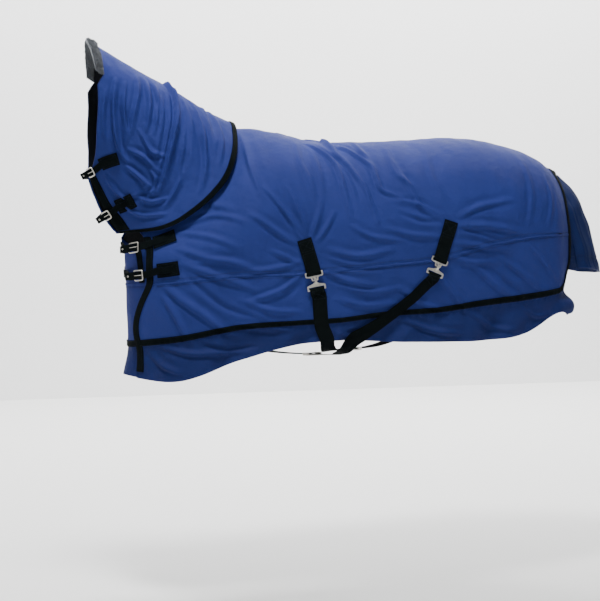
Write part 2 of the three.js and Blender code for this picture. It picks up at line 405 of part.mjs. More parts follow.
for (const b of BELLY) {
  const k = STRAPS[b.tag], M = b.M;
  const loc = (s, n) => ({ p: V(s, 0, n).applyMatrix4(M), n: b.q.n.clone() });
  const pts = [loc(22.4, 3.7), loc(33, 3.7), loc(40, 3.2), ...run(BODY, 1, k.onSkin[0], k.onSkin[1], 9, 7.2), ...k.under.map((q) => gp(...q)),
    ...run(BODY, -1, k.far[0], k.far[1], 6, -ANCHOR)];
  // inside the right side the strap's outer face looks at the lining
  add(ribbon(`${b.tag}_surcingle_strap`, BLACK_WEB(), pts, BELLY_WEB_W, WEB_T));
  add(ribbon(`${b.tag}_surcingle_anchor`, BLACK_WEB(), run(BODY, -1, [k.far[1][0], 7.0], [k.far[1][0], 6.2], 3, -SHELL_T - LINING_GAP - LINING_T - 5.6), 62, WEB_T, { nw: 2 }));
  // three-bar adjuster on the straight run under the belly
  const A = gp(...k.under[k.slider[0]]).p, B = gp(...k.under[k.slider[1]]).p;
  const dir = B.clone().sub(A).normalize(), o = A.clone().lerp(B, k.slider[2]);
  const down = V(0, 0, -1); const Ms = tangentFrame(o, down.addScaledVector(dir, -down.dot(dir)).normalize(), dir);
  const W2 = BELLY_WEB_W / 2 + 1.5;
  const pieces = [];
  for (const sg of [-1, 1]) { const g = new THREE.BoxGeometry(30, 4, 10); g.translate(0, sg * (W2 + 2), 0); pieces.push(g); }
  for (const sx of [-13, 13]) { const g = new THREE.BoxGeometry(4, 2 * W2 + 6, 3.2); g.translate(sx, 0, 3.4); pieces.push(g); }
  { const g = new THREE.BoxGeometry(5, 2 * W2 + 6, 3.2); g.translate(0, 0, -3.4); pieces.push(g); }
  const man = pieces.map((g) => { g.applyMatrix4(Ms); return toManifold(g); }).reduce((x, y) => x.add(y));
  add(fromManifold(`${b.tag}_surcingle_adjuster`, man, NICKEL()));
  info[`${b.tag}_adjuster`] = { pivot: o, dir };
}

// ---------------------------------------------------------------- tail flap
const TAIL_TOP = 0;
const TAIL_C = [[1034, 1486], [1076, 1447], [1112, 1402], [1136, 1350], [1160, 1276], [1184, 1195], [1205, 1113]];
const TAIL_W = [102, 118, 130, 140, 150, 158, 166], TAIL_D = [14, 52, 84, 108, 130, 152, 170], TAIL_SAG = [50, 46, 38, 26, 12, -4, -18];
const interp = (arr, x) => { const i = clamp(Math.floor(x), 0, arr.length - 2); return lerp(arr[i], arr[i + 1], x - i); };
function tailPoint(s, t, off) {
  const f = (a, b) => {
    const x = b * (TAIL_C.length - 1), th = a * 1.4;
    const cx = interp(TAIL_C.map((q) => q[0]), x), cz = interp(TAIL_C.map((q) => q[1]), x);
    const w = interp(TAIL_W, x) / Math.sin(1.4), d = interp(TAIL_D, x) / (1 - Math.cos(1.4));
    return V(cx - d * (1 - Math.cos(th)), w * Math.sin(th), cz - interp(TAIL_SAG, x) * Math.sin(th) ** 2).sub(G0);
  };
  const h = 0.01, a = s * 2 - 1;
  const p = f(a, t), ds = f(a + h, t).sub(f(a - h, t)), dt = f(a, Math.min(t + h, 1)).sub(f(a, Math.max(t - h, 0)));
  const n = dt.cross(ds).normalize(); if (n.x < 0) n.negate();
  return p.addScaledVector(n, off);
}
add(laid('tail_flap', BLUE_DARK(), 12, 8, (s, t, k) => tailPoint(s, t, k > 0.5 ? 0 : -3)));
add(laid('tail_flap_hem', BLUE_DARK(), 12, 1, (s, t, k) => tailPoint(s, 0.875 + 0.125 * t, k > 0.5 ? -3.6 : -5.2)));
info.tail = { pivot: V(TAIL_C[0][0] - 2, 0, TAIL_C[0][1] + 2).sub(G0) };

// ---------------------------------------------------------------- neck cover
const N_ROWS = [0, 0.35, 0.8, 1.4, 2.05, 2.6, 3.3, 4, 4.7, 5.4, 6];
const N_COLS = [0, 0.1, 0.2, 0.3, 0.4, 0.5, 0.6, 0.7, 0.8, 0.9, 1];
const NR = [...N_ROWS.slice(1).reverse().map((v) => -v), ...N_ROWS];
const FLEECE_U = 0.33, FLEECE_V = 2.05;
const neckFront = (v) => (v <= FLEECE_V + 1e-6 ? FLEECE_U + 0.02 : v < 2.6 ? lerp(FLEECE_U + 0.02, 0, (v - FLEECE_V) / (2.6 - FLEECE_V)) : 0);
const nAt = (s, v) => { const e = neckFront(v); return e + (5 - e) * at(N_COLS, s); };
const neckAt = (s, t, off) => { const w = at(NR, t), side = w >= 0 ? 1 : -1, v = Math.abs(w); return neck(side, nAt(s, v), v, off); };
add(laid('neck_cover_shell', BLUE(), N_COLS.length - 1, NR.length - 1, (s, t, k) => neckAt(s, t, k > 0.5 ? 0 : -NECK_T)));
add(laid('neck_cover_lining', LINING(), N_COLS.length - 1, NR.length - 1, (s, t, k) => neckAt(s, t, k < 0.5 ? -NECK_T - LINING_GAP : -NECK_T - LINING_GAP - NECK_LINING_T)));
add(laid('neck_rear_binding', BLACK_WEB(), 1, NR.length - 1, (s, t, k) => { const w = at(NR, t), side = w >= 0 ? 1 : -1, v = Math.min(Math.abs(w), 5.97); return neck(side, s > 0.5 ? 5 : 4.8, v, 3.5 + (k > 0.5 ? BIND_T : 0)); }));
const FL_ROWS = [0, 0.35, 0.8, 1.4, 2.02];
const FR = [...FL_ROWS.slice(1).reverse().map((v) => -v), ...FL_ROWS];
add(laid('poll_fleece', FLEECE(), 3, FR.length - 1, (s, t, k) => { const w = at(FR, t), side = w >= 0 ? 1 : -1, v = Math.abs(w); const bulge = Math.sin(Math.PI * clamp(s, 0.12, 0.88)); return neck(side, FLEECE_U * s, v, k > 0.5 ? 3 * bulge + 0.5 : -NECK_T - NECK_LINING_T - 5 * bulge); }));
for (const [side, tag] of [[1, 'left'], [-1, 'right']]) {
  add(laid(`throat_binding_${tag}`, BLACK_WEB(), 10, 1, (s, t, k) => neck(side, lerp(0, 4.76, s), lerp(5.74, 6, t), 3.1 + (k > 0.5 ? BIND_T : 0))));
}
const THROAT = [
  { tag: 'throat_upper', patch: [[0.70, 5.24], [1.608, 4.519]], b: [0.20, 5.80], pw: 42 },
  { tag: 'throat_lower', patch: [[3.30, 5.62], [3.353, 5.10]], b: [3.50, 5.97], pw: 50 },
];
const THROAT_H = 12;
for (const c of THROAT) {
  add(ribbon(`${c.tag}_patch`, BLACK_WEB(), run(NECK, 1, c.patch[0], c.patch[1], 4, PATCH_LIFT + WEB_T / 2 + 1.0), c.pw, WEB_T, { nw: 2 }));
  const q = skin(NECK, 1, c.b[0], c.b[1]);
  const o = q.p.clone().addScaledVector(q.n, THROAT_H);
  const M = tangentFrame(o, q.n, q.p.clone().sub(neck(1, ...c.patch[1], 0)));
  const L = THROAT_BUCKLE[0], hx = L / 2 + WIRE / 2;
  const loc = (s, n) => ({ p: V(s, 0, n).applyMatrix4(M), n: q.n.clone() });
  const mid = (f) => [lerp(c.patch[0][0], c.patch[1][0], f), lerp(c.patch[0][1], c.patch[1][1], f)];
  const start = run(NECK, 1, mid(0.6), mid(0.12), 3, (x) => PATCH_LIFT + WEB_T * 1.5 + 2.2 + 2 * x);
  const pts = [...start, loc(-hx - 8, -3.4), loc(-hx, -4.4), loc(-hx + 6, -3.0), loc(0, 1.0), loc(hx - 5, 5.4), loc(hx, 6.9), loc(hx + 8, 6.9), loc(hx + 26, 6.0)];
  info[c.tag] = buckle(c.tag, M, THROAT_BUCKLE, pts, THROAT_WEB_W, 40);
  add(ribbon(`${c.tag}_buckle_patch`, BLACK_WEB(), run(NECK, -1, c.b[0] > 2 ? [3.3, 5.62] : [0.70, 5.24], c.b[0] > 2 ? [3.353, 5.0] : [1.5, 4.55], 4, PATCH_LIFT + WEB_T / 2 + 1.6), 40, WEB_T, { nw: 2 }));
}

export default group;
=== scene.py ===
# Turnout rug: visual model. Metres, same frame as the CAD: head end -X, left side -Y, +Z up.
import sys
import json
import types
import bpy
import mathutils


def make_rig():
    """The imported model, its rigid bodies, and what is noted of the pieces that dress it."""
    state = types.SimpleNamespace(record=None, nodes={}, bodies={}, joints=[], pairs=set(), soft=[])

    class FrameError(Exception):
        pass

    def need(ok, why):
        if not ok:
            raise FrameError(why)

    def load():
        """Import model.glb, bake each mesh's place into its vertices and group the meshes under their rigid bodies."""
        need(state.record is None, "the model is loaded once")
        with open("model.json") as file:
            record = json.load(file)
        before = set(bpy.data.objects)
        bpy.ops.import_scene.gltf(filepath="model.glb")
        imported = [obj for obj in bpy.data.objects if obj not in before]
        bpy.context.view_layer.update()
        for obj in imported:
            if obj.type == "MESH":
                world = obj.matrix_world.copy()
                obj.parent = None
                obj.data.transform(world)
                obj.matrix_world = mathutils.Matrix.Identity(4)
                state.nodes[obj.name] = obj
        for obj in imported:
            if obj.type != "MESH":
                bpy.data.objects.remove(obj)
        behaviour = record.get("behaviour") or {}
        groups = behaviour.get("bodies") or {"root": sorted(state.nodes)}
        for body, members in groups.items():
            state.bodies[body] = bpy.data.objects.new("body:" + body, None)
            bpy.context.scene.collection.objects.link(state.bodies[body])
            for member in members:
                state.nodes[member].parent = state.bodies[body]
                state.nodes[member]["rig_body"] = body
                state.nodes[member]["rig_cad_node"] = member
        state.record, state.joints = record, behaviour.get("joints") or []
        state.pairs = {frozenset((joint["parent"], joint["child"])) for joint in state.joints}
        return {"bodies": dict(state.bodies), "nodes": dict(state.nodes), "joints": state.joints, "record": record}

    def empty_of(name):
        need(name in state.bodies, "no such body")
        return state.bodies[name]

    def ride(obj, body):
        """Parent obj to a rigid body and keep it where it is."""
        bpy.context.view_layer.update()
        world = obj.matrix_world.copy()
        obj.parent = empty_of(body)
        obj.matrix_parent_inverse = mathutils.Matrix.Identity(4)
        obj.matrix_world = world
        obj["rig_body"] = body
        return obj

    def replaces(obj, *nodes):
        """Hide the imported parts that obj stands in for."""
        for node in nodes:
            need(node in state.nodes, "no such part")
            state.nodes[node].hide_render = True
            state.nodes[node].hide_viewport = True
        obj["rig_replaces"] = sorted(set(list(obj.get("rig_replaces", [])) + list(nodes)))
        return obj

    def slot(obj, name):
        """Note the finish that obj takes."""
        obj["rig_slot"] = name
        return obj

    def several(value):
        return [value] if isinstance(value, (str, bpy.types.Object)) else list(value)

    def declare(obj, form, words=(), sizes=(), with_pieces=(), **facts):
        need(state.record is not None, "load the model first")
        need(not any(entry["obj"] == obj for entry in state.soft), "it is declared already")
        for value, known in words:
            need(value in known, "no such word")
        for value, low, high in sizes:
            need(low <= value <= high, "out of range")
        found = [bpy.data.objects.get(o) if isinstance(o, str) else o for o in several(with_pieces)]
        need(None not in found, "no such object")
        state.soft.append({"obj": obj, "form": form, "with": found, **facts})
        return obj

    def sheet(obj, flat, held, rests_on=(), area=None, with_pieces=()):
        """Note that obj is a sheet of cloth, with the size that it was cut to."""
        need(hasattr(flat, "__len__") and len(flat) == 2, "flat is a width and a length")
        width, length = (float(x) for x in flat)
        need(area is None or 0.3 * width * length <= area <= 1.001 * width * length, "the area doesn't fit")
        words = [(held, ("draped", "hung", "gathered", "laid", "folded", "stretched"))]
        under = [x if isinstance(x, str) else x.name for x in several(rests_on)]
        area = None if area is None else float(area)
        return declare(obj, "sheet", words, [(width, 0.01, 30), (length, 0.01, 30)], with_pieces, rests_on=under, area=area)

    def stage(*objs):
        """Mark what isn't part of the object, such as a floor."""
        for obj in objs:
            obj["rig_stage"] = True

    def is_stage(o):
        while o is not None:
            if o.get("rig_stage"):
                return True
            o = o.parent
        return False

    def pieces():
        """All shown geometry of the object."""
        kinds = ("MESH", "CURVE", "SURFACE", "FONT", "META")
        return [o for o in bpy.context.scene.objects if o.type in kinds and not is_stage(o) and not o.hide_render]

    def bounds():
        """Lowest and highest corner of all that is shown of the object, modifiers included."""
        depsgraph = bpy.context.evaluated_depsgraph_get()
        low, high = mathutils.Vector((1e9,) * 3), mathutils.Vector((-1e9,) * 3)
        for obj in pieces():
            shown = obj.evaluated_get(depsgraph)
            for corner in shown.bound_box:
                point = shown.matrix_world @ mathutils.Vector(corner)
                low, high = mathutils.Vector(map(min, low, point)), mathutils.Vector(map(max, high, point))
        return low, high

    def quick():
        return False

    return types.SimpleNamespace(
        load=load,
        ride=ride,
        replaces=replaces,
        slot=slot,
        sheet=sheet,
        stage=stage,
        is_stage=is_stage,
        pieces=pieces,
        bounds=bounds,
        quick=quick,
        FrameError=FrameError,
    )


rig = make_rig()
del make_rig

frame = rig.load()
import bpy, math, json
import numpy as np
from mathutils import Matrix, Vector

CAD_BOX = [[float(c) for c in p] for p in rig.bounds()]
G0 = np.array([0.05, 0.0, 1.57506])          # the origin above the ground under the hooves

# ------------------------------------------------------------------ master skin (mm)
BODY_NET = np.array([
 [[-405.3,0,93.6],[-409.2,-98,25.6],[-454.1,-150.3,-98.5],[-554.8,-124.1,-219.9],[-702.9,0,-315.1],[-701.1,0,-401],[-694.6,0,-500.8],[-689.9,0,-607.7],[-688.6,0,-714.8],[-694,0,-763.1],[-701.1,0,-807.8]],
 [[-303.6,0,51.3],[-316.2,-100,-15.1],[-355.3,-162,-128.4],[-455.8,-176.4,-243.8],[-562,-137.8,-311.7],[-567.6,-192,-401.8],[-563.9,-205,-493.2],[-555.5,-212,-591.1],[-546.3,-215,-690.9],[-545.3,-217,-754.1],[-547.4,-218,-820.6]],
 [[-218,0,47.7],[-242,-96.5,8.5],[-266,-170.7,-66.2],[-290,-224,-157.5],[-314,-255.9,-258.4],[-338,-262.1,-364.3],[-350,-262.9,-470.8],[-350,-264.2,-561.1],[-350,-266,-651.3],[-350,-268,-701.4],[-350,-270,-751.4]],
 [[-170,0,39.4],[-170,-101.7,8.8],[-170,-183.3,-60.2],[-170,-241.3,-150.2],[-170,-274.8,-251.9],[-170,-282,-358.8],[-170,-282,-466.2],[-170,-282,-552.1],[-170,-282,-638],[-170,-283,-671.4],[-170,-284,-704.7]],
 [[0,0,8.6],[0,-100.4,-13.2],[0,-186.2,-70.2],[0,-250.3,-150.9],[0,-290.4,-245.9],[0,-305,-348.1],[0,-304.3,-451.5],[0,-302.7,-540],[0,-300,-628.5],[0,-300,-658.6],[0,-300,-688.7]],
 [[170,0,11.5],[170,-101.5,-6.8],[170,-190.8,-58.5],[170,-259.6,-135.5],[170,-303.7,-229],[170,-321.6,-330.8],[170,-321.1,-434.5],[170,-318.5,-521.7],[170,-314,-608.8],[170,-314,-652.1],[170,-314,-695.5]],
 [[350,0,24.5],[350,-103.1,9.4],[350,-195.7,-38],[350,-267.7,-113.2],[350,-313.2,-206.9],[350,-331.3,-309.6],[350,-331.1,-414.2],[350,-327.8,-506.2],[350,-322,-598.3],[350,-322,-648.3],[350,-322,-698.4]],
 [[530,0,37.1],[530,-98.7,25.5],[530,-189.3,-14.9],[530,-261.4,-83.1],[530,-308.3,-170.7],[530,-329.5,-267.8],[530,-331.6,-367.4],[530,-327.2,-472],[530,-318,-576.6],[530,-318,-637.1],[530,-318,-697.6]],
 [[700,0,19.6],[700,-88.5,9.4],[700,-170.2,-25.9],[700,-236.4,-85.3],[700,-281.9,-161.9],[700,-306,-247.8],[700,-312,-336.8],[700,-309.4,-447.7],[700,-302,-558.6],[700,-303,-616.8],[700,-304,-674.9]],
 [[840,0,-20.4],[840,-86.1,-33.8],[840,-162,-76.4],[840,-219.2,-142.1],[840,-255.5,-221.5],[840,-272.6,-307.2],[840,-274.9,-326.2],[840,-274.5,-431.7],[840,-272,-537.1],[840,-274,-571.2],[840,-276,-605.2]],
 [[975,0,-75.9],[965,-45,-98.2],[958.6,-83,-130.8],[955.1,-118,-174.1],[950.9,-146,-223.9],[948.4,-164,-272.8],[944,-176,-321.4],[933.3,-190,-428.8],[901.6,-203,-520.7],[936.5,-208,-576.1],[904.9,-213,-625.3]],
], float) / 1000.0
NECK_NET = np.array([
 [[-814.2,0,330.2],[-805.7,-65,285],[-796.8,-102,220.1],[-790.8,-112,126.3],[-795,-106,24.2],[-796.6,-82,-60.2],[-806.9,-38,-124.4]],
 [[-720.3,0,280.2],[-716.1,-62,244.7],[-721.1,-108,176.2],[-730.6,-122,87.7],[-743.2,-115,-5],[-762.5,-88,-89.9],[-796.7,-36,-157.8]],
 [[-627.9,0,229.6],[-624.7,-65,196.3],[-634.8,-115,125.5],[-655.3,-132,39.4],[-684.7,-125,-50.8],[-726.9,-95,-136.4],[-781.6,-36,-199.8]],
 [[-525,0,178.7],[-523.9,-70,142.2],[-537.9,-125,67.6],[-570.5,-148,-22.9],[-620.6,-142,-110.5],[-685.5,-108,-190],[-763.1,-36,-243.5]],
 [[-410.5,0,111.8],[-411.1,-75,74.1],[-426.1,-135,-0.6],[-464.8,-165,-88.5],[-533.7,-165,-173.7],[-621.6,-128,-243.7],[-739.1,-34,-283.9]],
 [[-298.5,0,63.2],[-307,-85,18],[-328.3,-150,-60.2],[-372.8,-185,-151.7],[-465.5,-195,-244.3],[-577.4,-160,-311.2],[-706.1,-30,-324.4]],
], float) / 1000.0
FLAP_DROP = 0.017
SEAM, HEM, SKIRT = 6.0, 8.0, 10.0
M3 = np.array([1.0, -1.0, 1.0])

def pad_net(net, chest):
    g = np.concatenate([net[:, 1:2] * M3, net, 2 * net[:, -1:] - net[:, -2:-1]], 1)
    f = 2 * g[0:1] - g[1:2]
    if chest:
        m = g[1:2] * M3
        f = f.copy()
        f[:, chest + 1:] = m[:, chest + 1:]
        f[:, chest] = 0.5 * (f[:, chest] + m[:, chest])
    return np.concatenate([f, g, 2 * g[-1:] - g[-2:-1]], 0)

GB, GN = pad_net(BODY_NET, 4), pad_net(NECK_NET, 0)

def ev(G, u, v):
    u, v = np.broadcast_arrays(np.asarray(u, float), np.asarray(v, float))
    i = np.clip(np.floor(u).astype(int), 0, G.shape[0] - 4)
    j = np.clip(np.floor(v).astype(int), 0, G.shape[1] - 4)
    def w(t):
        t2, t3 = t * t, t * t * t
        return [0.5 * (-t + 2 * t2 - t3), 0.5 * (2 - 5 * t2 + 3 * t3), 0.5 * (t + 4 * t2 - 3 * t3), 0.5 * (-t2 + t3)]
    wu, wv = w(u - i), w(v - j)
    out = 0
    for a in range(4):
        for b in range(4):
            out = out + (wu[a] * wv[b])[..., None] * G[i + a, j + b]
    return out

def smooth(x, a, b):
    t = np.clip((np.asarray(x, float) - a) / (b - a), 0, 1)
    return t * t * (3 - 2 * t)

def unit(v):
    return v / np.maximum(np.linalg.norm(v, axis=-1, keepdims=True), 1e-12)

def base(G, side, u, v):
    """point and outward normal of the smooth skin; side +1 left (-Y), -1 right; arrays allowed"""
    u, v, side = np.broadcast_arrays(np.asarray(u, float), np.asarray(v, float), np.asarray(side, float))
    s = side.copy(); uu = u.copy()
    if G is GB:
        neg = u < 0
        s[neg] *= -1; uu[neg] *= -1
    h = 0.02
    vv = np.maximum(v, 0.0005)
    p = ev(G, uu, v)
    du = ev(G, uu + h, vv) - ev(G, np.maximum(uu - h, 0), vv)
    dv = ev(G, uu, vv + h) - ev(G, uu, np.maximum(vv - h, -0.9))
    n = unit(np.cross(dv, du))
    if G is GB:
        k = (v > 3.9) & (uu < 0.3)
        n[..., 1] = np.where(k, n[..., 1] * smooth(uu, -0.02, 0.3), n[..., 1])
        n = unit(n)
    p = p.copy(); p[..., 1] *= s; n[..., 1] *= s
    return p, n

EDGE = np.array([[0, 0], [2.6, 0], [3.6, 0.22], [4.0, 0.56], [4.2, 0.69], [4.6, 0.69], [5.0, 0.64], [5.5, 0.62], [6.0, 0.62], [6.3, 0.53], [6.7, 0.42], [7.2, 0.32], [7.6, 0.31], [8.0, 0.37], [9.0, 0.40], [10.0, 0.41]])
_ev = np.linspace(0, 10, 201)
_eu = np.interp(_ev, EDGE[:, 0], EDGE[:, 1])
_k = np.exp(-0.5 * (np.arange(-8, 9) / 3.0) ** 2); _k /= _k.sum()
_eu = np.convolve(np.pad(_eu, 8, mode="edge"), _k, mode="valid")
def left_edge(v): return np.interp(v, _ev, _eu)
def right_edge(v): return np.where(np.asarray(v) < 4.005, 0.0, -(left_edge(v) + 0.18) * smooth(v, 4.2, 5.0))
def front_edge(side, v): return np.where(np.asarray(side) > 0, left_edge(v), right_edge(v))
def drop(side, u, v): return np.where(np.asarray(side) > 0, 0.0, -FLAP_DROP * (1 - smooth(u, 0.05, 0.75)) * smooth(v, 3.1, 4.0))

